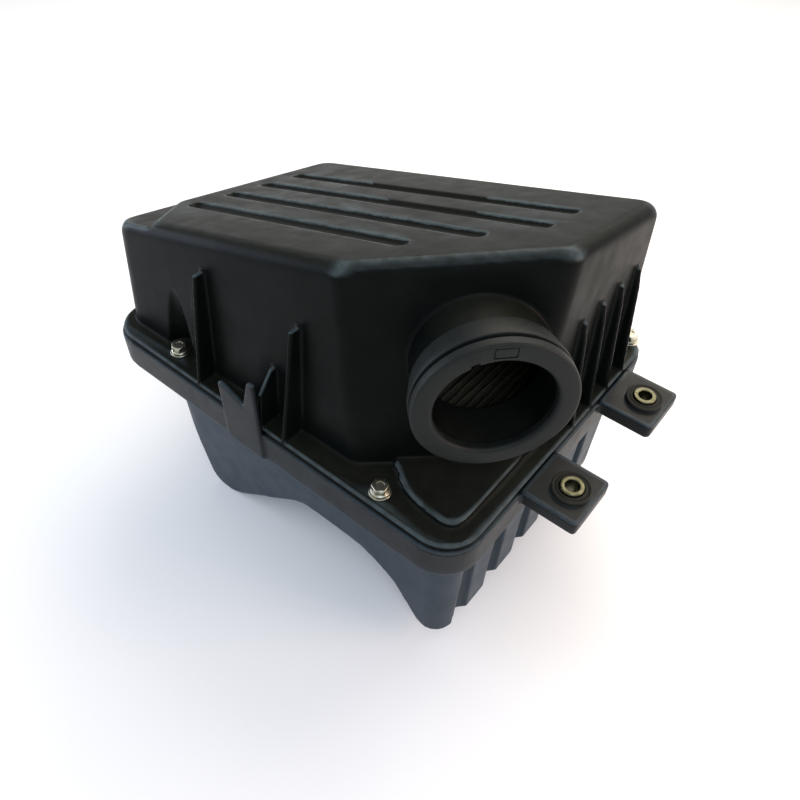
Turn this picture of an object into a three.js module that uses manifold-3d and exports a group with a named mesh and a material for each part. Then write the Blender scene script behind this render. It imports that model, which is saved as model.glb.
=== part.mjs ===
// Air filter housing of a small car engine: a deep moulded cover on a shallower moulded case, a panel
// filter clamped between them, four cover screws, and two rubber-bushed mounting ears.
// Millimetres, +Z up. X runs along the front wall, Y to the back, and the parting plane is Z = 0
// until the whole housing is lifted onto its own bottom at the end of the file.
import * as THREE from 'three';
import { mergeVertices } from 'three/addons/utils/BufferGeometryUtils.js';
import Module from 'manifold-3d';

const wasm = await Module();
wasm.setup();

// ---------------------------------------------------------------- driving dimensions
const CLEARANCE = 0.3;              // gap between pieces that touch or slide
const WALL = 3;                     // moulded wall thickness

const FLANGE_LENGTH = 260;          // along X
const FLANGE_DEPTH = 203.5;         // along Y
const FLANGE_CORNER_RADIUS = 22;
const SKIRT_HEIGHT = 19;            // rim of the case below the parting plane
const COVER_FLANGE_THICKNESS = 4;
const COVER_FLANGE_INSET = 1.5;

const COVER_SIDE_INSET = 4;         // flange edge to cover wall, left
const COVER_RIGHT_INSET = 10;
const COVER_BACK_INSET = 13.5;
const COVER_FRONT_INSET_LEFT = 12;  // the front wall runs at a slight angle to the flange
const COVER_FRONT_INSET_RIGHT = 15;
const COVER_CORNER_RADIUS = 14;
const COVER_EDGE_RADIUS = 9;        // between the walls and the top
const COVER_HEIGHT_AT_ORIGIN = 72;
const TOP_SLOPE_X = 0.272;            // the top rises to the right
const TOP_SLOPE_Y = -0.2;           // and falls to the back
const DRAFT = 0.035;                // walls lean in by this much per millimetre of height
const FRONT_DRAFT = 0.09;

const CHAMFER_LENGTH_X = 64;        // the cut-off corner that carries the outlet, at its foot
const CHAMFER_LENGTH_Y = 57;
const CHAMFER_LEAN_X = 16;          // how far its two upright edges lean outward at the top
const CHAMFER_LEAN_Y = 18;
const STEP_HEIGHT = 7.3;            // low square step that holds the filter's frame
const STEP_FRONT_INSET = 14;
const STEP_SIDE_INSET = 0.4;        // inside the cover's right wall
const STEP_CORNER_RADIUS = 9;
const STEP_NOTCH = [[13, 28], [22, 24], [25, 19], [42, 14]];  // clear of a screw, from the chamfer's start
const STEP_TAIL = [30, 14];         // how far the step runs on under the cover, behind the chamfer

const GROOVE_WIDTH = 9;
const GROOVE_DEPTH = 2.2;
const GROOVE_COUNT = 4;
const GROOVE_FIRST = 60;            // Y of the first groove at its left end
const GROOVE_LAST_INSET = 49;       // last groove from the cover's back wall
const GROOVE_MARGIN = 20;           // groove ends from the cover's left wall
const GROOVE_END_MARGIN = 31;       // and from its chamfered and right walls
const FACET_DEPTH = 2.2;            // shallow low corner of the top, front left
const FACET_ALONG_FRONT = 56;       // where its edge crosses the front wall
const FACET_ALONG_SIDE = 74;        // and the left wall

const OUTLET_HEIGHT = 66;           // axis above the parting plane
const OUTLET_TURN = 47;             // degrees from straight ahead towards the right
const OUTLET_BODY_RADIUS = 33;
const OUTLET_WALL = 3.5;
const OUTLET_REACH = 22.5;          // mouth of the tube from the chamfered wall, along the axis
const OUTLET_SHIFT = 16;            // of the axis from the wall's middle, towards the right
const OUTLET_ROOT = 60;             // length of the tube before the inside is hollowed
const COLLAR_WALL = 4.2;            // collar around the tube
const COLLAR_STEP = 2;              // how far the collar's lip closes in on the tube's bore
const COLLAR_LIP = 5;
const COLLAR_GRIP = 15;             // length of the collar that sleeves the tube
const COLLAR_TAIL_WALL = 1.8;       // thin end of the sleeve
const COLLAR_TAPER_END = 5;         // the sleeve is at full size from here, behind the mouth
const COLLAR_GROOVE_WIDTH = 2;
const COLLAR_GROOVE_DEPTH = 2;
const COLLAR_BREAK = 1;             // broken edges of the lip

const FRONT_RIB_FIRST = 82;         // X of the first tall rib of the front wall
const FRONT_RIB_LAST_INSET = 38;    // second tall rib from the chamfer's start
const FRONT_RIB_HEIGHT = 71;
const SIDE_RIB_FIRST_INSET = 38;    // first tall rib of the right wall from the chamfer's end
const SIDE_RIB_LAST_INSET = 23;     // last one from the cover's back wall
const SIDE_RIB_COUNT = 4;
const SIDE_RIB_HEIGHT = 72;
const RIB_THICKNESS = 2.6;
const RIB_CROWN = 2.2;              // how far a rib still stands out near its top
const RIB_CROWN_LENGTH = 12;        // pointed top of a rib
const RIB_ROOT = 8;                 // how far a rib is sunk into its wall before the inside is hollowed

const CASE_DEPTH = 115;             // bottom of the belly, the lowest point, below the parting plane
const CASE_LEFT_INSET = 38;
const CASE_RIGHT_INSET = 7;
const CASE_FRONT_INSET = 9;
const CASE_BACK_INSET = 10;
const CASE_DRAFT = 0.035;
const BELLY_LEAN = 18;              // how far the left wall of the case leans in at its bottom
const CASE_CORNER_RADIUS = 14;
const BELLY_WIDTH = 20;             // flat bottom under the left side
const ARCH_HEIGHT = 60;             // roof of the arch between belly and lobe, below the parting plane
const ARCH_LENGTH = 44;             // flat roof of the arch
const ARCH_END_INSET = 59;          // end of the arch's roof from the right wall of the case
const LOBE_RISE = 14;               // bottom of the lobe above the bottom of the belly
const LOBE_WIDTH = 19;              // flat bottom under the right side
const LOBE_SLOPE = 38;              // X taken up by the lobe's sloping side
const FLUTE_PITCH = 31;             // upright flutes in the right wall of the case
const FLUTE_FIRST = 30;
const FLUTE_RADIUS = 5;

const SEAT_MARGIN = 1;              // filter rebate to the inside of the cover's walls
const SEAT_FRONT_MARGIN = 15;       // the same at the front, clear of the screw bosses
const SEAT_LEFT_MARGIN = 6;         // and inside the left wall of the case
const SEAT_DEPTH = 6;               // below the parting plane
const SEAT_LEDGE = 7;
const SEAT_CORNER_RADIUS = 8;
const PLEAT_PITCH = 9;
const PLEAT_HEIGHT = 40;
const PLEAT_PAPER = 1.2;
const PLEAT_CREST = 5;              // depth of the closed crest of a fold

const SCREW_LEFT_FRONT = 55;        // X of the front left screw
const SCREW_RIGHT_FRONT_INSET = 53; // front right screw from the right edge of the flange
const SCREW_LEFT_BACK = 30;
const SCREW_RIGHT_BACK_INSET = 11;
const SCREW_FRONT_LEFT_INSET = 12;  // from the front edge
const SCREW_FRONT_RIGHT_INSET = 10;
const SCREW_BACK_INSET = 11;        // from the back edge
const SCREW_RADIUS = 2.5;
const SCREW_LENGTH = 18;
const SCREW_HEAD_ACROSS = 8;
const SCREW_HEAD_HEIGHT = 4;
const SCREW_FLANGE_RADIUS = 4.9;
const SCREW_FLANGE_THICKNESS = 1.4;
const WASHER_RADIUS = 5.7;
const WASHER_THICKNESS = 1;
const INSERT_WALL = 1.7;            // around the screw's clearance
const INSERT_LENGTH = 11;
const INSERT_GROOVE_DEPTH = 0.8;
const INSERT_GROOVE_WIDTH = 2.2;
const INSERT_HOLE_EXTRA = 10;       // blind depth of the boss left below the insert
const BOSS_RADIUS = 8;
const BOSS_LENGTH = 23;
const SCREW_POCKET_RADIUS = 11.5;   // room for a socket beside the wall, narrowing upwards
const SCREW_POCKET_HEIGHT = 66;
const SCREW_POCKET_TIP = 2;

const EAR_FRONT = 73.6;             // Y of the front mounting ear
const EAR_BACK_INSET = 48.5;        // back ear from the back edge of the flange
const EAR_REACH = 31;               // beyond the flange
const EAR_WIDTH = 35;
const EAR_TOP = 2;
const EAR_THICKNESS = 6;
const EAR_RIM = 2.5;                // raised edge under the plate, its height and its width
const EAR_CORNER_RADIUS = 2;
const SLEEVE_IN_FROM_EDGE = 13.3;
const SLEEVE_RADIUS = 6.3;
const SLEEVE_BORE_RADIUS = 3.65;
const SLEEVE_PROUD = 1.2;
const SLEEVE_BREAK = 0.5;
const GROMMET_WALL = 4;             // around the sleeve, at the two flanges
const GROMMET_NECK_WALL = 2.1;      // and through the ear
const GROMMET_FLANGE = 2.4;
const GROMMET_ROUND = 1;

const PEG_SIDE_INSET = 13;          // locating peg under the lobe, from the right wall of the case
const PEG_BACK_INSET = 33.5;        // and from its back wall
const PEG_RADIUS = 5;
const PEG_BUSH_WALL = 3.2;          // rubber bush around the peg
const PEG_BUSH_GROOVE = 2;

const LUG_FROM_RIB = 24;            // forked lug on the front of the rim, from the first tall rib
const LUG_WIDTH = 28.5;
const LUG_LEFT_HEIGHT = 24;         // the two prongs
const LUG_RIGHT_HEIGHT = 38;
const LUG_LEFT_TIP = 3;             // width of their tips
const LUG_RIGHT_TIP = 4.5;
const LUG_NOTCH_AT = 18;            // bottom of the notch, from the lug's left edge
const LUG_NOTCH_HEIGHT = 17.5;
const WEB_AT = 25;                  // short web of the cover behind the right prong
const WEB_HEIGHT = 37;

const INLET_X = 84;                 // air inlet in the back wall of the case
const INLET_Z = -62;
const INLET_WIDTH = 62;
const INLET_HEIGHT = 40;
const INLET_REACH = 12;

const ROUND_SEGMENTS = 20;
const CORNER_SEGMENTS = 3;

// ---------------------------------------------------------------- solids
function toSolid(geometry) {
  geometry.deleteAttribute('normal');
  geometry.deleteAttribute('uv');
  const merged = mergeVertices(geometry, 1e-4);
  return new wasm.Manifold(new wasm.Mesh({
    numProp: 3,
    vertProperties: new Float32Array(merged.attributes.position.array),
    triVerts: new Uint32Array(merged.index.array),
  }));
}

function toGeometry(solid) {
  const mesh = solid.getMesh();
  const geometry = new THREE.BufferGeometry();
  geometry.setAttribute('position', new THREE.BufferAttribute(new Float32Array(mesh.vertProperties), 3));
  geometry.setIndex(new THREE.BufferAttribute(new Uint32Array(mesh.triVerts), 1));
  const merged = mergeVertices(geometry, 1e-3);
  const corners = Array.from(merged.index.array);
  const kept = [];
  for (let i = 0; i < corners.length; i += 3) {
    const [a, b, c] = corners.slice(i, i + 3);
    if (a !== b && b !== c && c !== a) {
      kept.push(a, b, c);
    }
  }
  merged.setIndex(kept);
  merged.computeVertexNormals();
  return merged;
}

function box(x0, x1, y0, y1, z0, z1) {
  const geometry = new THREE.BoxGeometry(x1 - x0, y1 - y0, z1 - z0);
  geometry.translate((x0 + x1) / 2, (y0 + y1) / 2, (z0 + z1) / 2);
  return toSolid(geometry);
}

function cylinder(x, y, z0, z1, radius, topRadius = radius) {
  const geometry = new THREE.CylinderGeometry(topRadius, radius, z1 - z0, ROUND_SEGMENTS);
  geometry.rotateX(Math.PI / 2);
  geometry.translate(x, y, (z0 + z1) / 2);
  return toSolid(geometry);
}

// A turned solid from [radius, height] points, standing on +Z.
function turned(profile) {
  const closed = profile.map(([radius, height]) => new THREE.Vector2(radius, height));
  if (profile[0][0] > 0) {
    closed.push(closed[0].clone());
  }
  const geometry = new THREE.LatheGeometry(closed, ROUND_SEGMENTS);
  geometry.rotateX(Math.PI / 2);
  return toSolid(geometry);
}

// Moves each side of a convex outline, listed anticlockwise, inward by a distance.
function inset(outline, distance) {
  return outline.map((corner, i) => {
    const before = outline[(i + outline.length - 1) % outline.length];
    const after = outline[(i + 1) % outline.length];
    const inDirection = new THREE.Vector2(corner[0] - before[0], corner[1] - before[1]).normalize();
    const outDirection = new THREE.Vector2(after[0] - corner[0], after[1] - corner[1]).normalize();
    const turn = inDirection.x * outDirection.y - inDirection.y * outDirection.x;
    const reach = distance / turn;
    return [
      corner[0] + (outDirection.x - inDirection.x) * reach,
      corner[1] + (outDirection.y - inDirection.y) * reach,
    ];
  });
}

// A THREE.Shape of an outline with every corner rounded.
function roundedShape(outline, radius) {
  const shape = new THREE.Shape();
  outline.forEach((corner, i) => {
    const here = new THREE.Vector2(...corner);
    const before = new THREE.Vector2(...outline[(i + outline.length - 1) % outline.length]);
    const after = new THREE.Vector2(...outline[(i + 1) % outline.length]);
    const toBefore = before.sub(here);
    const toAfter = after.sub(here);
    const half = Math.acos(toBefore.clone().normalize().dot(toAfter.clone().normalize())) / 2;
    const reach = Math.min(radius / Math.tan(half), toBefore.length() * 0.45, toAfter.length() * 0.45);
    const start = here.clone().add(toBefore.setLength(reach));
    const end = here.clone().add(toAfter.setLength(reach));
    if (i === 0) {
      shape.moveTo(start.x, start.y);
    } else {
      shape.lineTo(start.x, start.y);
    }
    shape.quadraticCurveTo(here.x, here.y, end.x, end.y);
  });
  shape.closePath();
  return shape;
}

function plate(outline, radius, z0, z1) {
  const geometry = new THREE.ExtrudeGeometry(roundedShape(outline, radius), {
    depth: z1 - z0,
    bevelEnabled: false,
    curveSegments: CORNER_SEGMENTS,
  });
  geometry.translate(0, 0, z0);
  return toSolid(geometry);
}

function rectangle(x0, x1, y0, y1) {
  return [[x0, y0], [x1, y0], [x1, y1], [x0, y1]];
}

function union(solids) {
  return solids.reduce((whole, next) => whole.add(next));
}

// ---------------------------------------------------------------- shared outlines
const flangeOutline = rectangle(0, FLANGE_LENGTH, 0, FLANGE_DEPTH);
const coverRight = FLANGE_LENGTH - COVER_RIGHT_INSET;
const coverBack = FLANGE_DEPTH - COVER_BACK_INSET;
const chamferStart = [coverRight - CHAMFER_LENGTH_X, COVER_FRONT_INSET_RIGHT];
const chamferEnd = [coverRight, COVER_FRONT_INSET_RIGHT + CHAMFER_LENGTH_Y];
const coverOutline = [
  [COVER_SIDE_INSET, COVER_FRONT_INSET_LEFT],
  chamferStart,
  chamferEnd,
  [coverRight, coverBack],
  [COVER_SIDE_INSET, coverBack],
];
const stepOutline = [
  ...STEP_NOTCH.map(([along, y]) => [chamferStart[0] + along, y]),
  [coverRight - STEP_SIDE_INSET, STEP_FRONT_INSET],
  [coverRight - STEP_SIDE_INSET, chamferEnd[1] + STEP_TAIL[1]],
  [coverRight - STEP_TAIL[0], chamferEnd[1] + STEP_TAIL[1]],
];
const seatRight = coverRight - WALL - SEAT_MARGIN;
const seatLeft = CASE_LEFT_INSET + SEAT_LEFT_MARGIN;
const seatFront = COVER_FRONT_INSET_RIGHT + WALL + SEAT_FRONT_MARGIN;
const seatBack = coverBack - WALL - SEAT_MARGIN;
const seatOutline = rectangle(seatLeft, seatRight, seatFront, seatBack);
const frontWallTurn = Math.atan2(COVER_FRONT_INSET_RIGHT - COVER_FRONT_INSET_LEFT,
  chamferStart[0] - COVER_SIDE_INSET);

const frontRibs = [FRONT_RIB_FIRST, chamferStart[0] - FRONT_RIB_LAST_INSET];
const lugLeft = FRONT_RIB_FIRST + LUG_FROM_RIB;
const screws = [
  [SCREW_LEFT_FRONT, SCREW_FRONT_LEFT_INSET],
  [FLANGE_LENGTH - SCREW_RIGHT_FRONT_INSET, SCREW_FRONT_RIGHT_INSET],
  [FLANGE_LENGTH - SCREW_RIGHT_BACK_INSET, FLANGE_DEPTH - SCREW_BACK_INSET],
  [SCREW_LEFT_BACK, FLANGE_DEPTH - SCREW_BACK_INSET],
];
const screwHole = SCREW_RADIUS + CLEARANCE;
const insertRadius = screwHole + INSERT_WALL;
const ears = [EAR_FRONT, FLANGE_DEPTH - EAR_BACK_INSET];

function clamp01(value) {
  return Math.min(1, Math.max(0, value));
}

function topHeight(x, y) {
  return COVER_HEIGHT_AT_ORIGIN + TOP_SLOPE_X * x + TOP_SLOPE_Y * y;
}

// Takes a point of the upright cover block to its place on the drafted, leaning cover.
function leanCover(x, y, z) {
  const middleX = (COVER_SIDE_INSET + coverRight) / 2;
  const middleY = (COVER_FRONT_INSET_LEFT + coverBack) / 2;
  const share = z / topHeight(...chamferStart);
  const alongFront = clamp01((x - middleX) / (chamferStart[0] - middleX))
    * clamp01((chamferEnd[1] - y) / CHAMFER_LENGTH_Y);
  const alongSide = clamp01((coverBack - y) / (coverBack - chamferEnd[1]))
    * clamp01((x - chamferStart[0]) / CHAMFER_LENGTH_X);
  return [
    x - (x - middleX) / (coverRight - middleX) * DRAFT * z - CHAMFER_LEAN_X * share * alongFront,
    y - (y - middleY) / (coverBack - middleY) * (y < middleY ? FRONT_DRAFT : DRAFT) * z
      + CHAMFER_LEAN_Y * share * alongSide,
  ];
}

function everythingBelow(z) {
  return box(-50, FLANGE_LENGTH + 50, -50, FLANGE_DEPTH + 50, z - 60, z);
}

// The cover as one solid block: the outline moved in by a distance, rounded at the top, then leaned.
function coverBlock(distance) {
  const radius = COVER_EDGE_RADIUS - distance;
  const top = 1000;
  const geometry = new THREE.ExtrudeGeometry(
    roundedShape(inset(coverOutline, distance), COVER_CORNER_RADIUS - distance),
    {
      depth: top,
      bevelEnabled: true,
      bevelThickness: radius,
      bevelSize: radius,
      bevelOffset: -radius,
      bevelSegments: 3,
      curveSegments: CORNER_SEGMENTS,
    },
  );
  const points = geometry.attributes.position;
  for (let i = 0; i < points.count; i += 1) {
    const x = points.getX(i);
    const y = points.getY(i);
    const level = points.getZ(i);
    let z = Math.max(level, -radius);
    let place = leanCover(x, y, 0);
    if (level > top / 2) {
      for (let pass = 0; pass < 8; pass += 1) {
        z = topHeight(...place) - distance - radius + level - top;
        place = leanCover(x, y, z);
      }
    }
    points.setXYZ(i, ...place, z);
  }
  return toSolid(geometry).subtract(everythingBelow(-2));
}

// A rib in a plane across the wall: full reach at the foot, less at its crown, nothing at its top.
function gusset(footReach, height, crown) {
  const shape = new THREE.Shape();
  shape.moveTo(0, 1);
  shape.lineTo(footReach, 1);
  shape.lineTo(footReach, COVER_FLANGE_THICKNESS + 1);
  shape.lineTo(RIB_ROOT + crown, height - RIB_CROWN_LENGTH);
  shape.lineTo(RIB_ROOT, height);
  shape.lineTo(0, height);
  shape.closePath();
  const geometry = new THREE.ExtrudeGeometry(shape, { depth: RIB_THICKNESS, bevelEnabled: false });
  geometry.rotateX(Math.PI / 2);
  geometry.translate(0, RIB_THICKNESS / 2, 0);
  return geometry;
}

// ---------------------------------------------------------------- outlet
const outletAngle = THREE.MathUtils.degToRad(OUTLET_TURN);
const outletDirection = new THREE.Vector3(Math.sin(outletAngle), -Math.cos(outletAngle), 0);
const chamferMiddle = new THREE.Vector3(
  (chamferStart[0] + chamferEnd[0] - CHAMFER_LEAN_X * OUTLET_HEIGHT / topHeight(...chamferStart)) / 2,
  (chamferStart[1] + chamferEnd[1] + CHAMFER_LEAN_Y * OUTLET_HEIGHT / topHeight(...chamferStart)) / 2,
  OUTLET_HEIGHT,
);
const chamferDirection = new THREE.Vector3(CHAMFER_LENGTH_X, CHAMFER_LENGTH_Y, 0).normalize();
const outletMouth = chamferMiddle.clone()
  .addScaledVector(chamferDirection, OUTLET_SHIFT)
  .addScaledVector(outletDirection, OUTLET_REACH);

// Lays a geometry that was turned about +Z along the outlet, with its origin at the mouth.
function alongOutlet(geometry) {
  const turn = new THREE.Quaternion().setFromUnitVectors(new THREE.Vector3(0, 0, 1), outletDirection);
  geometry.applyQuaternion(turn);
  geometry.translate(outletMouth.x, outletMouth.y, outletMouth.z);
  return toSolid(geometry);
}

function outletCylinder(radius, from, to) {
  const geometry = new THREE.CylinderGeometry(radius, radius, to - from, ROUND_SEGMENTS * 2);
  geometry.rotateX(Math.PI / 2);
  geometry.translate(0, 0, (from + to) / 2);
  return alongOutlet(geometry);
}

function outletCollar() {
  const grip = OUTLET_BODY_RADIUS + CLEARANCE;
  const outside = grip + COLLAR_WALL;
  const groove = outside - COLLAR_GROOVE_DEPTH;
  const bore = OUTLET_BODY_RADIUS - OUTLET_WALL - COLLAR_STEP;
  const profile = [
    [bore, CLEARANCE],
    [grip, CLEARANCE],
    [grip, -COLLAR_GRIP],
    [grip + COLLAR_TAIL_WALL, -COLLAR_GRIP],
    [outside, -COLLAR_TAPER_END],
    [outside, -COLLAR_GROOVE_WIDTH],
    [groove, -COLLAR_GROOVE_WIDTH],
    [groove, 0],
    [outside, 0],
    [outside, COLLAR_LIP - COLLAR_BREAK],
    [outside - COLLAR_BREAK, COLLAR_LIP],
    [bore + COLLAR_BREAK, COLLAR_LIP],
    [bore, COLLAR_LIP - COLLAR_BREAK],
  ];
  const points = profile.map(([radius, height]) => new THREE.Vector2(radius, height));
  points.push(points[0].clone());
  const geometry = new THREE.LatheGeometry(points, ROUND_SEGMENTS * 2);
  geometry.rotateX(Math.PI / 2);
  return alongOutlet(geometry);
}

// ---------------------------------------------------------------- upper cover
// What is taken off the top over an outline, down to a depth below the sloping top.
function topCut(shape, depth, moveTo) {
  const geometry = new THREE.ExtrudeGeometry(shape, {
    depth: 20,
    bevelEnabled: false,
    curveSegments: CORNER_SEGMENTS,
  });
  const points = geometry.attributes.position;
  for (let i = 0; i < points.count; i += 1) {
    const [x, y] = moveTo(points.getX(i), points.getY(i));
    points.setXYZ(i, x, y, topHeight(x, y) - depth + points.getZ(i));
  }
  return toSolid(geometry);
}

function lowCorner() {
  const share = FACET_ALONG_SIDE / FACET_ALONG_FRONT;
  const beyond = 40;
  const shape = new THREE.Shape();
  shape.moveTo(-beyond, -beyond * share);
  shape.lineTo(FACET_ALONG_FRONT + beyond, -beyond * share);
  shape.lineTo(-beyond, FACET_ALONG_SIDE + beyond * share);
  shape.closePath();
  return topCut(shape, FACET_DEPTH, (x, y) => [x, y]);
}

function topGroove(row) {
  const pitch = (coverBack - GROOVE_LAST_INSET - GROOVE_FIRST) / (GROOVE_COUNT - 1);
  const startY = GROOVE_FIRST + row * pitch;
  const x0 = COVER_SIDE_INSET + GROOVE_MARGIN;
  const chamferLimit = chamferStart[0] - CHAMFER_LEAN_X
    + (startY - chamferStart[1]) * CHAMFER_LENGTH_X / (CHAMFER_LENGTH_Y + CHAMFER_LEAN_Y);
  const x1 = Math.min(chamferLimit, coverRight) - GROOVE_END_MARGIN;
  const half = GROOVE_WIDTH / 2;
  const shape = roundedShape(rectangle(x0, x1, -half, half), half);
  return topCut(shape, GROOVE_DEPTH, (x, y) => [x, startY + y + (x - x0) * Math.tan(frontWallTurn)]);
}

function allTopCuts() {
  const cuts = [lowCorner()];
  for (let row = 0; row < GROOVE_COUNT; row += 1) {
    cuts.push(topGroove(row));
  }
  return union(cuts);
}

function frontWallY(x) {
  return COVER_FRONT_INSET_LEFT + (x - COVER_SIDE_INSET) * Math.tan(frontWallTurn);
}

function frontRib(x, height, crown) {
  const footReach = frontWallY(x) + RIB_ROOT - COVER_FLANGE_INSET - CLEARANCE;
  const geometry = gusset(footReach, height, crown);
  geometry.rotateZ(-Math.PI / 2);
  geometry.translate(x, frontWallY(x) + RIB_ROOT, 0);
  return toSolid(geometry);
}

function sideRib(y) {
  const footReach = COVER_RIGHT_INSET + RIB_ROOT - COVER_FLANGE_INSET - CLEARANCE;
  const geometry = gusset(footReach, SIDE_RIB_HEIGHT, RIB_CROWN);
  geometry.translate(coverRight - RIB_ROOT, y, 0);
  return toSolid(geometry);
}

function upperCover() {
  const flange = plate(inset(flangeOutline, COVER_FLANGE_INSET), FLANGE_CORNER_RADIUS,
    -1, COVER_FLANGE_THICKNESS);
  const step = plate(stepOutline, STEP_CORNER_RADIUS, -1, STEP_HEIGHT);
  const outside = coverBlock(0);
  let cover = union([flange, step, outside, outletCylinder(OUTLET_BODY_RADIUS, -OUTLET_ROOT, 0)]);
  frontRibs.forEach((x) => {
    cover = cover.add(frontRib(x, FRONT_RIB_HEIGHT, RIB_CROWN));
  });
  const webX = lugLeft + WEB_AT;
  cover = cover.add(frontRib(webX, WEB_HEIGHT, frontWallY(webX) - COVER_FLANGE_INSET - WALL));
  const firstSideRib = chamferEnd[1] + SIDE_RIB_FIRST_INSET;
  const sideRibPitch = (coverBack - SIDE_RIB_LAST_INSET - firstSideRib) / (SIDE_RIB_COUNT - 1);
  for (let i = 0; i < SIDE_RIB_COUNT; i += 1) {
    cover = cover.add(sideRib(firstSideRib + i * sideRibPitch));
  }
  screws.forEach(([x, y]) => {
    cover = cover.subtract(cylinder(x, y, COVER_FLANGE_THICKNESS, SCREW_POCKET_HEIGHT,
      SCREW_POCKET_RADIUS, SCREW_POCKET_TIP));
  });
  cover = cover.subtract(allTopCuts());

  let hollow = coverBlock(WALL);
  screws.forEach(([x, y]) => {
    hollow = hollow.subtract(cylinder(x, y, -1, SCREW_POCKET_HEIGHT + WALL,
      SCREW_POCKET_RADIUS + WALL, SCREW_POCKET_TIP + WALL));
  });
  hollow = hollow.subtract(allTopCuts().translate([0, 0, -WALL]));
  const bore = outletCylinder(OUTLET_BODY_RADIUS - OUTLET_WALL, -OUTLET_ROOT, 1);
  const seatPocket = plate(seatOutline, SEAT_CORNER_RADIUS, -1, STEP_HEIGHT - WALL);
  cover = cover.subtract(union([hollow, bore, seatPocket]));
  screws.forEach(([x, y]) => {
    cover = cover.subtract(cylinder(x, y, -1, COVER_FLANGE_THICKNESS + 1, screwHole));
  });
  return cover.subtract(everythingBelow(CLEARANCE));
}

// ---------------------------------------------------------------- lower case
const caseLeft = CASE_LEFT_INSET;
const caseRight = FLANGE_LENGTH - CASE_RIGHT_INSET;
const caseFront = CASE_FRONT_INSET;
const caseBack = FLANGE_DEPTH - CASE_BACK_INSET;
const archEnd = caseRight - ARCH_END_INSET;
const archStart = archEnd - ARCH_LENGTH;
const lobeDepth = CASE_DEPTH - LOBE_RISE;
const pegAt = [caseRight - PEG_SIDE_INSET, caseBack - PEG_BACK_INSET];

// Outline of the case seen from the front: belly, arch and lobe.
function caseProfile(distance) {
  const slant = distance * 0.4;
  const shape = new THREE.Shape();
  shape.moveTo(caseLeft + distance, 5);
  shape.lineTo(caseLeft + distance + BELLY_LEAN * 0.15, -ARCH_HEIGHT * 0.6);
  shape.lineTo(caseLeft + distance + BELLY_LEAN, -CASE_DEPTH + 6 + distance);
  shape.lineTo(caseLeft + distance + BELLY_LEAN + 5, -CASE_DEPTH + distance);
  shape.lineTo(caseLeft + distance + BELLY_LEAN + BELLY_WIDTH - slant, -CASE_DEPTH + distance);
  shape.lineTo(archStart - 8 - slant, -ARCH_HEIGHT - 4 + distance);
  shape.lineTo(archStart, -ARCH_HEIGHT + distance);
  shape.lineTo(archEnd, -ARCH_HEIGHT + distance);
  shape.lineTo(caseRight - LOBE_WIDTH - LOBE_SLOPE * 0.45 + slant, -ARCH_HEIGHT - 14 + distance);
  shape.lineTo(caseRight - LOBE_WIDTH + slant, -lobeDepth + distance);
  shape.lineTo(caseRight - distance - 5, -lobeDepth + distance);
  shape.lineTo(caseRight - distance, -lobeDepth + 6 + distance);
  shape.lineTo(caseRight - distance, 5);
  shape.closePath();
  return shape;
}

function caseBlock(distance) {
  const prism = new THREE.ExtrudeGeometry(caseProfile(distance), {
    depth: FLANGE_DEPTH + 40,
    bevelEnabled: false,
  });
  prism.rotateX(Math.PI / 2);
  prism.translate(0, FLANGE_DEPTH + 20, 0);
  const plan = new THREE.ExtrudeGeometry(
    roundedShape(inset(rectangle(caseLeft, caseRight, caseFront, caseBack), distance),
      CASE_CORNER_RADIUS - distance),
    { depth: CASE_DEPTH + 10, bevelEnabled: false, curveSegments: CORNER_SEGMENTS },
  );
  plan.translate(0, 0, -CASE_DEPTH - 5);
  const points = plan.attributes.position;
  const middleX = (caseLeft + caseRight) / 2;
  const middleY = (caseFront + caseBack) / 2;
  for (let i = 0; i < points.count; i += 1) {
    const x = points.getX(i);
    const y = points.getY(i);
    const z = points.getZ(i);
    const lean = CASE_DRAFT * Math.max(-z, 0);
    points.setXYZ(i, x - (x - middleX) / (caseRight - middleX) * lean * 0.5,
      y - (y - middleY) / (caseBack - middleY) * lean, z);
  }
  return toSolid(prism).intersect(toSolid(plan));
}

function inletCollar(distance, y0, y1) {
  const halfWidth = INLET_WIDTH / 2 - distance;
  const halfHeight = INLET_HEIGHT / 2 - distance;
  const outline = rectangle(INLET_X - halfWidth, INLET_X + halfWidth, INLET_Z - halfHeight, INLET_Z + halfHeight);
  const geometry = new THREE.ExtrudeGeometry(roundedShape(outline, 12 - distance), {
    depth: y1 - y0,
    bevelEnabled: false,
    curveSegments: CORNER_SEGMENTS,
  });
  geometry.rotateX(Math.PI / 2);
  geometry.translate(0, y1, 0);
  return toSolid(geometry);
}

function ear(y) {
  const x1 = FLANGE_LENGTH + EAR_REACH;
  const x0 = FLANGE_LENGTH - COVER_FLANGE_INSET + CLEARANCE;
  const outline = rectangle(x0, x1, y - EAR_WIDTH / 2, y + EAR_WIDTH / 2);
  const bottom = EAR_TOP - EAR_THICKNESS - EAR_RIM;
  const tab = plate(outline, EAR_CORNER_RADIUS, bottom, EAR_TOP);
  const relief = plate(inset(outline, EAR_RIM), EAR_CORNER_RADIUS, bottom - 1, EAR_TOP - EAR_THICKNESS);
  return tab.subtract(relief);
}

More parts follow.
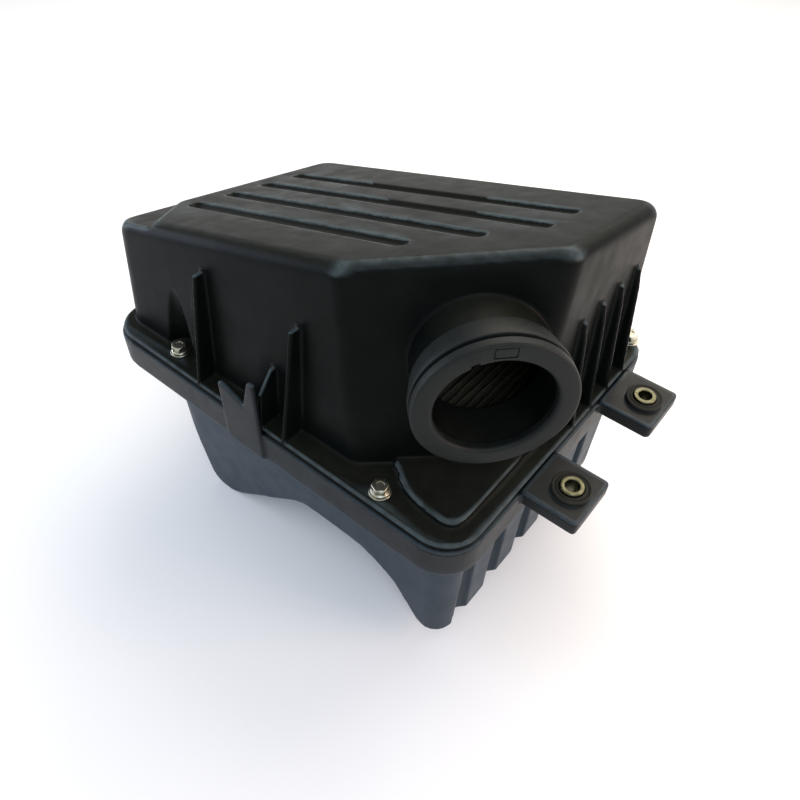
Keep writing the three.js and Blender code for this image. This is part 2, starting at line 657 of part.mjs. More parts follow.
function forkedLug() {
  const shape = new THREE.Shape();
  shape.moveTo(0, -SKIRT_HEIGHT);
  shape.lineTo(LUG_WIDTH, -SKIRT_HEIGHT);
  shape.lineTo(LUG_WIDTH, LUG_RIGHT_HEIGHT);
  shape.lineTo(LUG_WIDTH - LUG_RIGHT_TIP, LUG_RIGHT_HEIGHT);
  shape.lineTo(LUG_NOTCH_AT, LUG_NOTCH_HEIGHT);
  shape.lineTo(LUG_LEFT_TIP, LUG_LEFT_HEIGHT);
  shape.lineTo(0, LUG_LEFT_HEIGHT);
  shape.closePath();
  const geometry = new THREE.ExtrudeGeometry(shape, { depth: WALL, bevelEnabled: false });
  geometry.rotateX(Math.PI / 2);
  geometry.translate(lugLeft, COVER_FLANGE_INSET - CLEARANCE, 0);
  return toSolid(geometry);
}

function lowerCase() {
  const rim = plate(flangeOutline, FLANGE_CORNER_RADIUS, -SKIRT_HEIGHT, 0);
  const underside = plate(inset(flangeOutline, WALL), FLANGE_CORNER_RADIUS - WALL, -SKIRT_HEIGHT - 1, -WALL);
  let body = caseBlock(0).subtract(box(-50, FLANGE_LENGTH + 50, -50, FLANGE_DEPTH + 50, 0, 50));
  const rightWallFlutes = [];
  for (let y = FLUTE_FIRST; y < caseBack - 20; y += FLUTE_PITCH) {
    rightWallFlutes.push(y);
  }
  rightWallFlutes.forEach((y) => {
    body = body.subtract(cylinder(caseRight - 1, y, -CASE_DEPTH - 5, -SKIRT_HEIGHT - 6, FLUTE_RADIUS + 2, FLUTE_RADIUS));
  });
  let shell = rim.subtract(underside).add(body);
  screws.forEach(([x, y]) => {
    shell = shell.add(cylinder(x, y, -BOSS_LENGTH, -WALL / 2, BOSS_RADIUS - 0.6, BOSS_RADIUS));
  });
  shell = shell.add(inletCollar(0, caseBack - 14, caseBack + INLET_REACH - CASE_DRAFT * CASE_DEPTH));
  ears.forEach((y) => {
    shell = shell.add(ear(y));
  });
  shell = shell.add(forkedLug());
  shell = shell.add(cylinder(...pegAt, -CASE_DEPTH + 1, -lobeDepth + WALL / 2, PEG_RADIUS));

  let hollow = caseBlock(WALL);
  rightWallFlutes.forEach((y) => {
    hollow = hollow.subtract(cylinder(caseRight - 1, y, -CASE_DEPTH - 5, -SKIRT_HEIGHT - 6 + WALL,
      FLUTE_RADIUS + 2 + WALL, FLUTE_RADIUS + WALL));
  });
  hollow = hollow.intersect(plate(inset(seatOutline, SEAT_LEDGE), SEAT_CORNER_RADIUS, -SKIRT_HEIGHT, 5)
    .add(box(-50, FLANGE_LENGTH + 50, -50, FLANGE_DEPTH + 50, -CASE_DEPTH, -SEAT_DEPTH - WALL)));
  const seat = plate(seatOutline, SEAT_CORNER_RADIUS, -SEAT_DEPTH, 5);
  const inletBore = inletCollar(WALL, caseBack - 30, caseBack + INLET_REACH + 5);
  screws.forEach(([x, y]) => {
    hollow = hollow.subtract(cylinder(x, y, -BOSS_LENGTH - WALL, 0, BOSS_RADIUS + 0.1));
  });
  shell = shell.subtract(union([hollow, seat, inletBore]));
  screws.forEach(([x, y]) => {
    shell = shell.subtract(cylinder(x, y, -INSERT_LENGTH - INSERT_HOLE_EXTRA, 1, insertRadius + CLEARANCE));
  });
  ears.forEach((y) => {
    shell = shell.subtract(cylinder(sleeveX, y, -20, 20, grommetNeck + CLEARANCE));
  });
  return shell;
}

// ---------------------------------------------------------------- mounting hardware
const sleeveX = FLANGE_LENGTH + EAR_REACH - SLEEVE_IN_FROM_EDGE;
const earUnderside = EAR_TOP - EAR_THICKNESS;
const grommetNeck = SLEEVE_RADIUS + GROMMET_NECK_WALL;
const grommetTop = EAR_TOP + CLEARANCE + GROMMET_FLANGE;
const grommetBottom = earUnderside - CLEARANCE - GROMMET_FLANGE;

function grommet() {
  const bore = SLEEVE_RADIUS + CLEARANCE;
  const outside = SLEEVE_RADIUS + GROMMET_WALL;
  const crown = outside - GROMMET_ROUND;
  return turned([
    [bore, grommetBottom],
    [crown, grommetBottom],
    [outside, grommetBottom + GROMMET_ROUND],
    [outside, earUnderside - CLEARANCE],
    [grommetNeck, earUnderside - CLEARANCE],
    [grommetNeck, EAR_TOP + CLEARANCE],
    [outside, EAR_TOP + CLEARANCE],
    [outside, grommetTop - GROMMET_ROUND],
    [crown, grommetTop],
    [bore, grommetTop],
  ]);
}

function sleeve() {
  const bottom = grommetBottom - SLEEVE_PROUD;
  const top = grommetTop + SLEEVE_PROUD;
  return turned([
    [SLEEVE_BORE_RADIUS, bottom],
    [SLEEVE_RADIUS, bottom],
    [SLEEVE_RADIUS, top - SLEEVE_BREAK],
    [SLEEVE_RADIUS - SLEEVE_BREAK, top],
    [SLEEVE_BORE_RADIUS + SLEEVE_BREAK, top],
    [SLEEVE_BORE_RADIUS, top - SLEEVE_BREAK],
  ]);
}

function pegBush() {
  const bore = PEG_RADIUS + CLEARANCE;
  const top = -lobeDepth - CLEARANCE;
  const collar = LOBE_RISE / 3;
  const outside = bore + PEG_BUSH_WALL;
  const waist = outside - PEG_BUSH_GROOVE;
  return turned([
    [bore, -CASE_DEPTH],
    [outside, -CASE_DEPTH],
    [outside, -CASE_DEPTH + collar],
    [waist, -CASE_DEPTH + collar],
    [waist, top - collar],
    [outside, top - collar],
    [outside, top],
    [bore, top],
  ]);
}

// ---------------------------------------------------------------- screws
function coverScrew() {
  const seat = COVER_FLANGE_THICKNESS + CLEARANCE + WASHER_THICKNESS + CLEARANCE;
  const head = new THREE.CylinderGeometry(SCREW_HEAD_ACROSS / Math.sqrt(3), SCREW_HEAD_ACROSS / Math.sqrt(3),
    SCREW_HEAD_HEIGHT, 6);
  head.rotateX(Math.PI / 2);
  head.translate(0, 0, seat + SCREW_FLANGE_THICKNESS / 2 + SCREW_HEAD_HEIGHT / 2);
  const shank = cylinder(0, 0, seat - SCREW_LENGTH, seat + SCREW_FLANGE_THICKNESS, SCREW_RADIUS);
  const flange = cylinder(0, 0, seat, seat + SCREW_FLANGE_THICKNESS, SCREW_FLANGE_RADIUS);
  return toSolid(head).add(shank).add(flange);
}

function washer() {
  const bottom = COVER_FLANGE_THICKNESS + CLEARANCE;
  return turned([
    [screwHole, bottom],
    [WASHER_RADIUS, bottom],
    [WASHER_RADIUS, bottom + WASHER_THICKNESS],
    [screwHole, bottom + WASHER_THICKNESS],
  ]);
}

function threadInsert() {
  const top = -CLEARANCE;
  const bottom = top - INSERT_LENGTH;
  const middle = (top + bottom) / 2;
  const groove = insertRadius - INSERT_GROOVE_DEPTH;
  return turned([
    [screwHole, bottom],
    [insertRadius, bottom],
    [insertRadius, middle - INSERT_GROOVE_WIDTH / 2],
    [groove, middle - INSERT_GROOVE_WIDTH / 2],
    [groove, middle + INSERT_GROOVE_WIDTH / 2],
    [insertRadius, middle + INSERT_GROOVE_WIDTH / 2],
    [insertRadius, top],
    [screwHole, top],
  ]);
}

// ---------------------------------------------------------------- panel filter
const sealTop = STEP_HEIGHT - WALL - CLEARANCE;
const sealBottom = -SEAT_DEPTH + CLEARANCE;
const sealOutline = inset(seatOutline, 0.5);
const mediaInset = SEAT_LEDGE + 2;

function filterSeal() {
  const ring = plate(sealOutline, SEAT_CORNER_RADIUS - 0.5, sealBottom, sealTop);
  const lip = mediaInset - CLEARANCE;
  const opening = box(seatLeft + lip, seatRight - lip, seatFront + lip, seatBack - lip,
    sealBottom - 1, sealTop + 1);
  return ring.subtract(opening);
}

// The paper folded up and down across the panel, as one closed band.
function filterMedia() {
  const crest = PLEAT_PAPER / 2;
  const x0 = seatLeft + mediaInset + crest;
  const x1 = seatRight - mediaInset - crest;
  const folds = Math.round((x1 - x0) / PLEAT_PITCH);
  const halfPitch = (x1 - x0) / folds / 2;
  const high = sealTop - 1;
  const low = high - PLEAT_HEIGHT;
  const upper = [];
  const lower = [];
  for (let i = 0; i <= folds * 2; i += 1) {
    const x = x0 + i * halfPitch;
    if (i % 2 === 0) {
      upper.push([x - crest, high], [x + crest, high]);
      lower.push([x, high - PLEAT_CREST]);
    } else {
      upper.push([x, low + PLEAT_CREST]);
      lower.push([x - crest, low], [x + crest, low]);
    }
  }
  const shape = new THREE.Shape(upper.concat(lower.reverse()).map(([x, z]) => new THREE.Vector2(x, z)));
  const geometry = new THREE.ExtrudeGeometry(shape, {
    depth: seatBack - seatFront - 2 * mediaInset,
    bevelEnabled: false,
  });
  geometry.rotateX(Math.PI / 2);
  geometry.translate(0, seatBack - mediaInset, 0);
  return toSolid(geometry);
}

// ---------------------------------------------------------------- materials
const coverPlastic = new THREE.MeshStandardMaterial({ color: 0x1d2020, roughness: 0.5, metalness: 0 });
const casePlastic = new THREE.MeshStandardMaterial({ color: 0x2b3038, roughness: 0.5, metalness: 0 });
const rubber = new THREE.MeshStandardMaterial({ color: 0x17181a, roughness: 0.75, metalness: 0 });
const zincSteel = new THREE.MeshStandardMaterial({ color: 0xb9bab4, roughness: 0.35, metalness: 1 });
const brass = new THREE.MeshStandardMaterial({ color: 0xb08d4a, roughness: 0.4, metalness: 1 });
const sealFoam = new THREE.MeshStandardMaterial({ color: 0x33373a, roughness: 0.85, metalness: 0 });
const paper = new THREE.MeshStandardMaterial({ color: 0xd9cfb4, roughness: 0.9, metalness: 0 });

// ---------------------------------------------------------------- assembly
const housing = new THREE.Group();

function place(name, solid, material, x = 0, y = 0, z = 0) {
  const mesh = new THREE.Mesh(toGeometry(solid), material);
  mesh.name = name;
  mesh.position.set(x, y, z);
  housing.add(mesh);
  return mesh;
}

place('upper_cover', upperCover(), coverPlastic);
place('lower_case', lowerCase(), casePlastic);
place('outlet_collar', outletCollar(), rubber);
place('filter_seal', filterSeal(), sealFoam);
place('filter_media', filterMedia(), paper);
screws.forEach(([x, y], i) => {
  place(`cover_screw_${i + 1}`, coverScrew(), zincSteel, x, y);
  place(`screw_washer_${i + 1}`, washer(), zincSteel, x, y);
  place(`thread_insert_${i + 1}`, threadInsert(), brass, x, y);
});
ears.forEach((y, i) => {
  place(`ear_grommet_${i + 1}`, grommet(), rubber, sleeveX, y);
  place(`ear_sleeve_${i + 1}`, sleeve(), zincSteel, sleeveX, y);
});
place('peg_bush', pegBush(), rubber, ...pegAt);

// The housing stands on its own bottom, centred on the origin.
const bounds = new THREE.Box3().setFromObject(housing);
const middle = bounds.getCenter(new THREE.Vector3());
housing.position.set(-middle.x, -middle.y, -bounds.min.z);

const part = new THREE.Group();
part.add(housing);
export default part;
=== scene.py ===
# %% [markdown]
# # An air filter housing, piece by piece
# The real object is a two-part moulded box from an engine bay. A deep cover with a round outlet sits on a
# shallower case, four screws hold them together, and a pleated paper panel is clamped in between.
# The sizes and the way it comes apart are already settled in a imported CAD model. This lesson loads that
# model as a fixed frame and makes the finished surfaces around it: soft moulded edges, grain, threads,
# pleats and rubber. Everything is in metres in the CAD model's own frame.

# %% Load the frame
import math

import bmesh
import bpy
import numpy as np
from mathutils import Matrix, Vector


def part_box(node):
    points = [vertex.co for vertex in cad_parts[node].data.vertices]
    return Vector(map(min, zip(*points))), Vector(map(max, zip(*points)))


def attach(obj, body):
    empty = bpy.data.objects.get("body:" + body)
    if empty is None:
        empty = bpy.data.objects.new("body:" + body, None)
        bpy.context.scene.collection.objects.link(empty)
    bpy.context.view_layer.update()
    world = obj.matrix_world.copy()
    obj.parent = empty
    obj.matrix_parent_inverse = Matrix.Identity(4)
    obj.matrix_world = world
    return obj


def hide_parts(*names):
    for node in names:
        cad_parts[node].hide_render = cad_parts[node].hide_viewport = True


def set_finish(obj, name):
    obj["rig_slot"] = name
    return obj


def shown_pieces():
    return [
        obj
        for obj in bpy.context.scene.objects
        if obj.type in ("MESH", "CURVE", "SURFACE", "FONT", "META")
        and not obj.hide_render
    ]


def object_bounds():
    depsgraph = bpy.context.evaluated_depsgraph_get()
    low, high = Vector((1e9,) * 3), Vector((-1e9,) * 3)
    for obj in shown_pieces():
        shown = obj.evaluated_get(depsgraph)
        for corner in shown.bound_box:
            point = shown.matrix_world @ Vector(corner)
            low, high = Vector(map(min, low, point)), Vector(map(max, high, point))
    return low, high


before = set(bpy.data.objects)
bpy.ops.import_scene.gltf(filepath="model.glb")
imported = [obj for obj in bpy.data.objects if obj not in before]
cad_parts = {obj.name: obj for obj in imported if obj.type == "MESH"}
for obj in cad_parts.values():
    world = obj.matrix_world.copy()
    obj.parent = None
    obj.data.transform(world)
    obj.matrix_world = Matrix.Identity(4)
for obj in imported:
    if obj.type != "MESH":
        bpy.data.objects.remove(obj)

cad_low, cad_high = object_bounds()
print("CAD size in mm:", [round((b - a) * 1000, 1) for a, b in zip(cad_low, cad_high)])

# %% [markdown]
# A moulder draws the housing from its parting plane, where cover and case meet. The shapes below are
# worked out in the same way: millimetres, X from the left edge of the flange, Y from its front edge, and
# Z up from the parting plane. One matrix then carries each finished mesh into the frame. The matrix comes
# from the boxes of the CAD nodes, so the pieces land where the CAD says without any fitting by hand.

# %% Drawing coordinates
MM = 0.001
CLEARANCE = 0.3
WALL = 3.0
LUG_PROUD = 1.8                  # the forked lug stands this far in front of the flange

case_low, cover_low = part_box("lower_case")[0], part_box("upper_cover")[0]
FLANGE_FRONT = case_low.y + LUG_PROUD * MM
PARTING_HEIGHT = cover_low.z - CLEARANCE * MM
TO_FRAME = Matrix.Translation((case_low.x, FLANGE_FRONT, PARTING_HEIGHT)) @ Matrix.Scale(MM, 4)


def drawn(point):
    """A point of the frame, in drawing millimetres."""
    return TO_FRAME.inverted() @ Vector(point)


def drawn_box(node):
    """The box of a CAD node in drawing millimetres, as (low, high)."""
    low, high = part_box(node)
    return drawn(low), drawn(high)


def drawn_round(node):
    """Centre, outer radius, bottom and top of a round CAD node that stands upright."""
    low, high = drawn_box(node)
    return (low + high) / 2, (high.x - low.x) / 2, low.z, high.z


print("parting plane at", round(PARTING_HEIGHT / MM, 2), "mm above the floor")

# %% [markdown]
# ## Tools of the bench
# Every piece starts as a closed skin of points. A *loft* joins rings that have the same number of points,
# which makes plates, drafted boxes and, when a ring is a circle, turned parts. The Boolean modifier then
# joins and cuts these skins. It is quicker and safer than modelling each junction by hand, and it is also
# how a mould maker thinks: the part is a block, less the core that shapes its inside.

# %% Making skins
def skin(name, points, faces):
    mesh = bpy.data.meshes.new(name)
    mesh.from_pydata([tuple(p) for p in points], [], faces)
    work = bmesh.new()
    work.from_mesh(mesh)
    bmesh.ops.remove_doubles(work, verts=work.verts, dist=1e-5)
    bmesh.ops.recalc_face_normals(work, faces=work.faces)
    work.to_mesh(mesh)
    work.free()
    made = bpy.data.objects.new(name, mesh)
    bpy.context.scene.collection.objects.link(made)
    return made


def loft(name, rings, closed=False):
    """Joins rings of points. A closed loft runs back into its first ring; an open one gets end caps."""
    count = len(rings[0])
    points = [p for ring in rings for p in ring]
    faces = []
    steps = len(rings) if closed else len(rings) - 1
    for r in range(steps):
        a, b = r * count, (r + 1) % len(rings) * count
        for i in range(count):
            j = (i + 1) % count
            faces.append((a + i, a + j, b + j, b + i))
    if not closed:
        faces.append(tuple(range(count)))
        faces.append(tuple(range(len(points) - count, len(points))))
    return skin(name, points, faces)


# %% Turned shapes, posts and blocks
def spoke(profile, angle, at=(0, 0)):
    """A (radius, height) profile, swung to an angle about an upright axis."""
    return [(at[0] + r * math.cos(angle), at[1] + r * math.sin(angle), z) for r, z in profile]


def turned(name, profile, at=(0, 0), segments=64):
    """A ring turned about +Z from a closed list of (radius, height) points."""
    return loft(name, [spoke(profile, 2 * math.pi * k / segments, at) for k in range(segments)], closed=True)


def post(name, at, z0, z1, radius, top_radius=None, segments=48):
    """A solid round post or cone, standing up."""
    side = [(radius, z0), (radius if top_radius is None else top_radius, z1)]
    return loft(name, list(zip(*[spoke(side, 2 * math.pi * k / segments, at) for k in range(segments)])))


def block(name, low, high):
    ring = [(low[0], low[1]), (high[0], low[1]), (high[0], high[1]), (low[0], high[1])]
    return loft(name, [[(x, y, z) for x, y in ring] for z in (low[2], high[2])])


# %% Applying and combining
def applied(made, kind, **settings):
    """Adds one modifier, applies it and returns the object."""
    modifier = made.modifiers.new(kind, kind)
    for key, value in settings.items():
        setattr(modifier, key, value)
    graph = bpy.context.evaluated_depsgraph_get()
    mesh = bpy.data.meshes.new_from_object(made.evaluated_get(graph))
    made.modifiers.clear()
    made.data = mesh
    return made


def combine(made, tools, operation):
    """Joins ("UNION") or cuts ("DIFFERENCE", "INTERSECT") with each tool, which is used up."""
    for tool in tools:
        applied(made, "BOOLEAN", object=tool, operation=operation, solver="MANIFOLD")
        bpy.data.objects.remove(tool)
    return made


# %% Outlines with round corners
def inset(corners, distance):
    """Moves each side of a convex outline, listed anticlockwise, inward by a distance."""
    moved = []
    for i, corner in enumerate(corners):
        here, before = Vector(corner), Vector(corners[i - 1])
        after = Vector(corners[(i + 1) % len(corners)])
        arriving, leaving = (here - before).normalized(), (after - here).normalized()
        reach = distance / (arriving.x * leaving.y - arriving.y * leaving.x)
        moved.append(here + (leaving - arriving) * reach)
    return moved


def rounded(corners, radius, per_corner=10, per_side=6):
    """An outline with an arc at each corner and evenly spaced points along each side."""
    arcs = []
    for i, corner in enumerate(corners):
        here = Vector(corner)
        to_before = (Vector(corners[i - 1]) - here).normalized()
        to_after = (Vector(corners[(i + 1) % len(corners)]) - here).normalized()
        half = to_before.angle(to_after) / 2
        centre = here + (to_before + to_after).normalized() * (radius / math.sin(half))
        start = here + to_before * (radius / math.tan(half)) - centre
        turn = math.pi - 2 * half
        arcs.append([centre + Matrix.Rotation(turn * k / per_corner, 2) @ start
                     for k in range(per_corner + 1)])
    outline = []
    for i, arc in enumerate(arcs):
        following = arcs[(i + 1) % len(arcs)][0]
        outline += arc
        outline += [arc[-1].lerp(following, k / per_side) for k in range(1, per_side)]
    return outline


def rectangle(x0, x1, y0, y1):
    return [(x0, y0), (x1, y0), (x1, y1), (x0, y1)]


def plate(name, corners, radius, z0, z1):
    outline = rounded(corners, radius)
    return loft(name, [[(x, y, z) for x, y in outline] for z in (z0, z1)])


def cushion_plate(name, corners, radius, z0, z1, edge, steps=4):
    """A plate whose top edge is rolled over with a radius."""
    rings = [[(x, y, z0) for x, y in rounded(corners, radius)]]
    for k in range(steps + 1):
        angle = math.pi / 2 * k / steps
        outline = rounded(inset(corners, edge * (1 - math.cos(angle))), radius - edge * (1 - math.cos(angle)))
        rings.append([(x, y, z1 - edge + edge * math.sin(angle)) for x, y in outline])
    return loft(name, rings)


# %% [markdown]
# Polypropylene shrinks as it cools, so a moulded box has no sharp edge anywhere: the mould maker rolls every
# corner over by a millimetre or two, inside and out. Bevelling hundreds of Boolean edges one by one is
# fragile. Instead the finished block is recast on a fine voxel grid and relaxed a little, which rounds
# each edge and fillets each junction, as the melt does in the mould. A last pass removes the
# points that flat walls don't need.

# %% Recasting a block as a moulding
RECAST_GRID = 0.8
RELAX_STEPS = 6
KEPT_SHARE = 0.12
# The edge map drives the plastics' painted edge highlight and the rubbers' scuffs.
FLAT_LEVEL, BEND_GAIN = 0.5, 1.4    # the rub map's value on a flat face, and how fast it moves with a bend


def moulded(made):
    applied(made, "REMESH", mode="VOXEL", voxel_size=RECAST_GRID, adaptivity=0.0)
    applied(made, "SMOOTH", factor=0.5, iterations=RELAX_STEPS)
    applied(made, "DECIMATE", decimate_type="COLLAPSE", ratio=KEPT_SHARE)
    return made


def edge_bulge_map(made, passes=4):
    """Stores how far each point stands out from its neighbours: 1 on a proud edge, 0 in a deep corner."""
    mesh = made.data
    points = np.zeros(len(mesh.vertices) * 3)
    normals = np.zeros(len(mesh.vertices) * 3)
    mesh.vertices.foreach_get("co", points)
    mesh.vertices.foreach_get("normal", normals)
    points, normals = points.reshape(-1, 3), normals.reshape(-1, 3)
    ends = np.zeros(len(mesh.edges) * 2, int)
    mesh.edges.foreach_get("vertices", ends)
    a, b = ends.reshape(-1, 2).T
    along = points[b] - points[a]
    bend = (np.einsum("ij,ij->i", normals[b] - normals[a], along)
            / (np.einsum("ij,ij->i", along, along) + 1e-12))
    total, hits = np.zeros(len(points)), np.zeros(len(points))
    for end in (a, b):
        np.add.at(total, end, bend)
        np.add.at(hits, end, 1)
    level = total / np.maximum(hits, 1)
    for _ in range(passes):
        spread = level * hits
        np.add.at(spread, a, level[b])
        np.add.at(spread, b, level[a])
        level = spread / np.maximum(2 * hits, 1)
    attribute = mesh.attributes.new("edge_bulge", "FLOAT", "POINT")
    attribute.data.foreach_set("value", np.clip(FLAT_LEVEL + level * BEND_GAIN, 0, 1).astype(np.float32))


def finished(made, name, body, slot, *nodes, smooth_angle=None):
    """Names a piece, carries it into the frame, and says what it rides on and stands for."""
    made.name = name
    made.data.name = name
    edge_bulge_map(made)
    made.data.transform(TO_FRAME)
    made.data.shade_smooth()
    if smooth_angle is not None:
        made.data.set_sharp_from_angle(angle=math.radians(smooth_angle))
    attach(made, body)
    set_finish(made, slot)
    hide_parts(*nodes)
    print(f"{name}: {len(made.data.polygons)} faces")
    return made


# %% [markdown]
# ## The upper cover
# On the real object this is one deep injection moulding. Its plan is a rectangle with one corner cut off
# for the outlet, its top is a plane that climbs towards that corner, and its walls lean in so that it
# leaves the mould. The walls could be drawn one by one. It is simpler to draw the plan once, lift it
# through a few heights, and let one function lean every point, because then all the corners stay joined.

# %% The cover's plan and lean
FLANGE_LENGTH = 260.0
FLANGE_DEPTH = 203.5
FLANGE_CORNER = 22.0
COVER_FLANGE_INSET = 1.5
COVER_FLANGE_THICKNESS = 4.0
COVER_LEFT = 4.0
COVER_RIGHT = FLANGE_LENGTH - 10.0
COVER_BACK = FLANGE_DEPTH - 13.5
FRONT_AT_LEFT = 12.0
FRONT_AT_RIGHT = 15.0
COVER_CORNER = 14.0
COVER_EDGE = 9.0                 # radius between the walls and the top
CHAMFER_X, CHAMFER_Y = 64.0, 57.0
CHAMFER_LEAN_X, CHAMFER_LEAN_Y = 16.0, 18.0
DRAFT, FRONT_DRAFT = 0.035, 0.09
TOP_AT_ORIGIN, TOP_SLOPE_X, TOP_SLOPE_Y = 72.0, 0.272, -0.2

chamfer_start = (COVER_RIGHT - CHAMFER_X, FRONT_AT_RIGHT)
chamfer_end = (COVER_RIGHT, FRONT_AT_RIGHT + CHAMFER_Y)
cover_plan = [(COVER_LEFT, FRONT_AT_LEFT), chamfer_start, chamfer_end,
              (COVER_RIGHT, COVER_BACK), (COVER_LEFT, COVER_BACK)]
flange_plan = rectangle(0, FLANGE_LENGTH, 0, FLANGE_DEPTH)
front_turn = math.atan2(FRONT_AT_RIGHT - FRONT_AT_LEFT, chamfer_start[0] - COVER_LEFT)


def clamped(value):
    return min(1.0, max(0.0, value))


def top_height(x, y):
    return TOP_AT_ORIGIN + TOP_SLOPE_X * x + TOP_SLOPE_Y * y


def leaned(x, y, z):
    """Where a point of the upright block goes once the walls are drafted and the chamfer leans out."""
    middle_x, middle_y = (COVER_LEFT + COVER_RIGHT) / 2, (FRONT_AT_LEFT + COVER_BACK) / 2
    share = z / top_height(*chamfer_start)
    along_front = (clamped((x - middle_x) / (chamfer_start[0] - middle_x))
                   * clamped((chamfer_end[1] - y) / CHAMFER_Y))
    along_side = (clamped((COVER_BACK - y) / (COVER_BACK - chamfer_end[1]))
                  * clamped((x - chamfer_start[0]) / CHAMFER_X))
    draft_y = FRONT_DRAFT if y < middle_y else DRAFT
    return (x - (x - middle_x) / (COVER_RIGHT - middle_x) * DRAFT * z - CHAMFER_LEAN_X * share * along_front,
            y - (y - middle_y) / (COVER_BACK - middle_y) * draft_y * z + CHAMFER_LEAN_Y * share * along_side)


def under_top(x, y, depth):
    """The leaned point of the plan that lies a depth under the sloping top."""
    place = leaned(x, y, 0)
    for _ in range(8):
        z = top_height(*place) - depth
        place = leaned(x, y, z)
    return (*place, z)


def cover_block(name, distance, base):
    """The cover as a solid: its plan moved in by a distance, rolled over at the top, then leaned."""
    edge = COVER_EDGE - distance
    outline = rounded(inset(cover_plan, distance), COVER_CORNER - distance)
    rings = [[(*leaned(x, y, base), base) for x, y in outline]]
    steps = 8
    for k in range(steps + 1):
        angle = math.pi / 2 * k / steps
        drawn_in = edge * (1 - math.cos(angle))
        ring = rounded(inset(cover_plan, distance + drawn_in), COVER_CORNER - distance - drawn_in)
        rings.append([under_top(x, y, distance + edge * (1 - math.sin(angle))) for x, y in ring])
    return loft(name, rings)


# %% [markdown]
# Four channels stiffen the top. They run side by side and stop short of the chamfer, so each is
# longer than the one before. Each channel is cut with a long lozenge that follows the slope, and a
# second one, a wall lower, is left standing on the core so that the wall keeps its thickness.
# The low corner beside the first channel is a shallow facet with a step along its edge.

# %% Channels and the low corner of the top
CHANNEL_WIDTH, CHANNEL_DEPTH, CHANNEL_SLANT = 9.6, 2.4, 0.8
CHANNEL_COUNT, CHANNEL_FIRST, CHANNEL_LAST_INSET = 4, 60.0, 49.0
CHANNEL_PITCH = (COVER_BACK - CHANNEL_LAST_INSET - CHANNEL_FIRST) / (CHANNEL_COUNT - 1)
CHANNEL_START = COVER_LEFT + 20.0
CHANNEL_END_MARGIN = 31.0
FACET_DEPTH = 2.6
FACET_ON_FRONT, FACET_ON_LEFT = 56.0, 74.0


def sloping_block(name, outlines, depth, height):
    """A block between two outlines, whose floor runs parallel to the top at a depth under it."""
    return loft(name, [[(x, y, top_height(x, y) - depth + lift) for x, y in outline]
                       for outline, lift in zip(outlines, (0, height))])


def channel(row, depth, wider=0.0):
    start_y = CHANNEL_FIRST + row * CHANNEL_PITCH
    chamfer_limit = (chamfer_start[0] - CHAMFER_LEAN_X
                     + (start_y - chamfer_start[1]) * CHAMFER_X / (CHAMFER_Y + CHAMFER_LEAN_Y))
    end = min(chamfer_limit, COVER_RIGHT) - CHANNEL_END_MARGIN
    height, outlines = 12.0, []
    for lift in (0, height):
        spread = wider + (lift - CHANNEL_DEPTH) * CHANNEL_SLANT
        half = CHANNEL_WIDTH / 2 + spread
        flat = rounded(rectangle(CHANNEL_START - spread, end + spread, -half, half), half * 0.98)
        outlines.append([(x, start_y + y + (x - CHANNEL_START) * math.tan(front_turn)) for x, y in flat])
    return sloping_block("channel", outlines, depth, height)


def low_corner(depth, wider=0.0):
    outlines = []
    for spread in (wider, wider + 5):
        outlines.append([(FACET_ON_FRONT + 4 + spread, -4), (-8, FACET_ON_LEFT + 13 + spread), (-8, -4)])
    return sloping_block("low_corner", outlines, depth, 12.0)


# %% [markdown]
# Tall thin ribs brace the front wall and the right wall against the flange. Real ribs taper like this
# because they carry the load down into the screws, and they are thinner than the wall so that they leave
# no sink mark on it. A short web of the same thickness backs the case's forked lug. Each rib is rolled
# before it is joined, because the recast grid is too coarse to round so thin an edge evenly.

# %% Ribs
RIB_THICKNESS, RIB_CROWN, RIB_CROWN_LENGTH, RIB_ROOT, RIB_ROUND = 2.6, 2.2, 12.0, 8.0, 0.9
FRONT_RIB_FIRST, FRONT_RIB_LAST_INSET, FRONT_RIB_HEIGHT = 82.0, 38.0, 71.0
FRONT_RIB_AT = (FRONT_RIB_FIRST, chamfer_start[0] - FRONT_RIB_LAST_INSET)
SIDE_RIB_COUNT, SIDE_RIB_HEIGHT, SIDE_RIB_FIRST_INSET, SIDE_RIB_LAST_INSET = 4, 72.0, 38.0, 23.0
SIDE_RIB_FIRST = chamfer_end[1] + SIDE_RIB_FIRST_INSET
SIDE_RIB_PITCH = (COVER_BACK - SIDE_RIB_LAST_INSET - SIDE_RIB_FIRST) / (SIDE_RIB_COUNT - 1)
LUG_LEFT = FRONT_RIB_FIRST + 24.0
WEB_X, WEB_HEIGHT = LUG_LEFT + 25.0, 37.0


def rolled(made, width, angle=40, segments=3):
    """Rolls the edges of a skin over before it is joined to its neighbours."""
    return applied(made, "BEVEL", width=width, segments=segments, limit_method="ANGLE",
                   angle_limit=math.radians(angle))


def rib(at, outward, reach, height, crown=RIB_CROWN):
    """A tapering rib: at is a point on the wall's foot, outward the direction that it faces."""
    across = Vector((-outward[1], outward[0], 0)) * (RIB_THICKNESS / 2)
    profile = [(-RIB_ROOT, 1), (reach, 1), (reach, COVER_FLANGE_THICKNESS + 1),
               (crown, height - RIB_CROWN_LENGTH), (0, height), (-RIB_ROOT, height)]
    rings = []
    for side in (-1, 1):
        rings.append([Vector((at[0] + outward[0] * r, at[1] + outward[1] * r, z)) + across * side
                      for r, z in profile])
    return rolled(loft("rib", rings), RIB_ROUND)


def front_wall(x):
    return FRONT_AT_LEFT + (x - COVER_LEFT) * math.tan(front_turn)


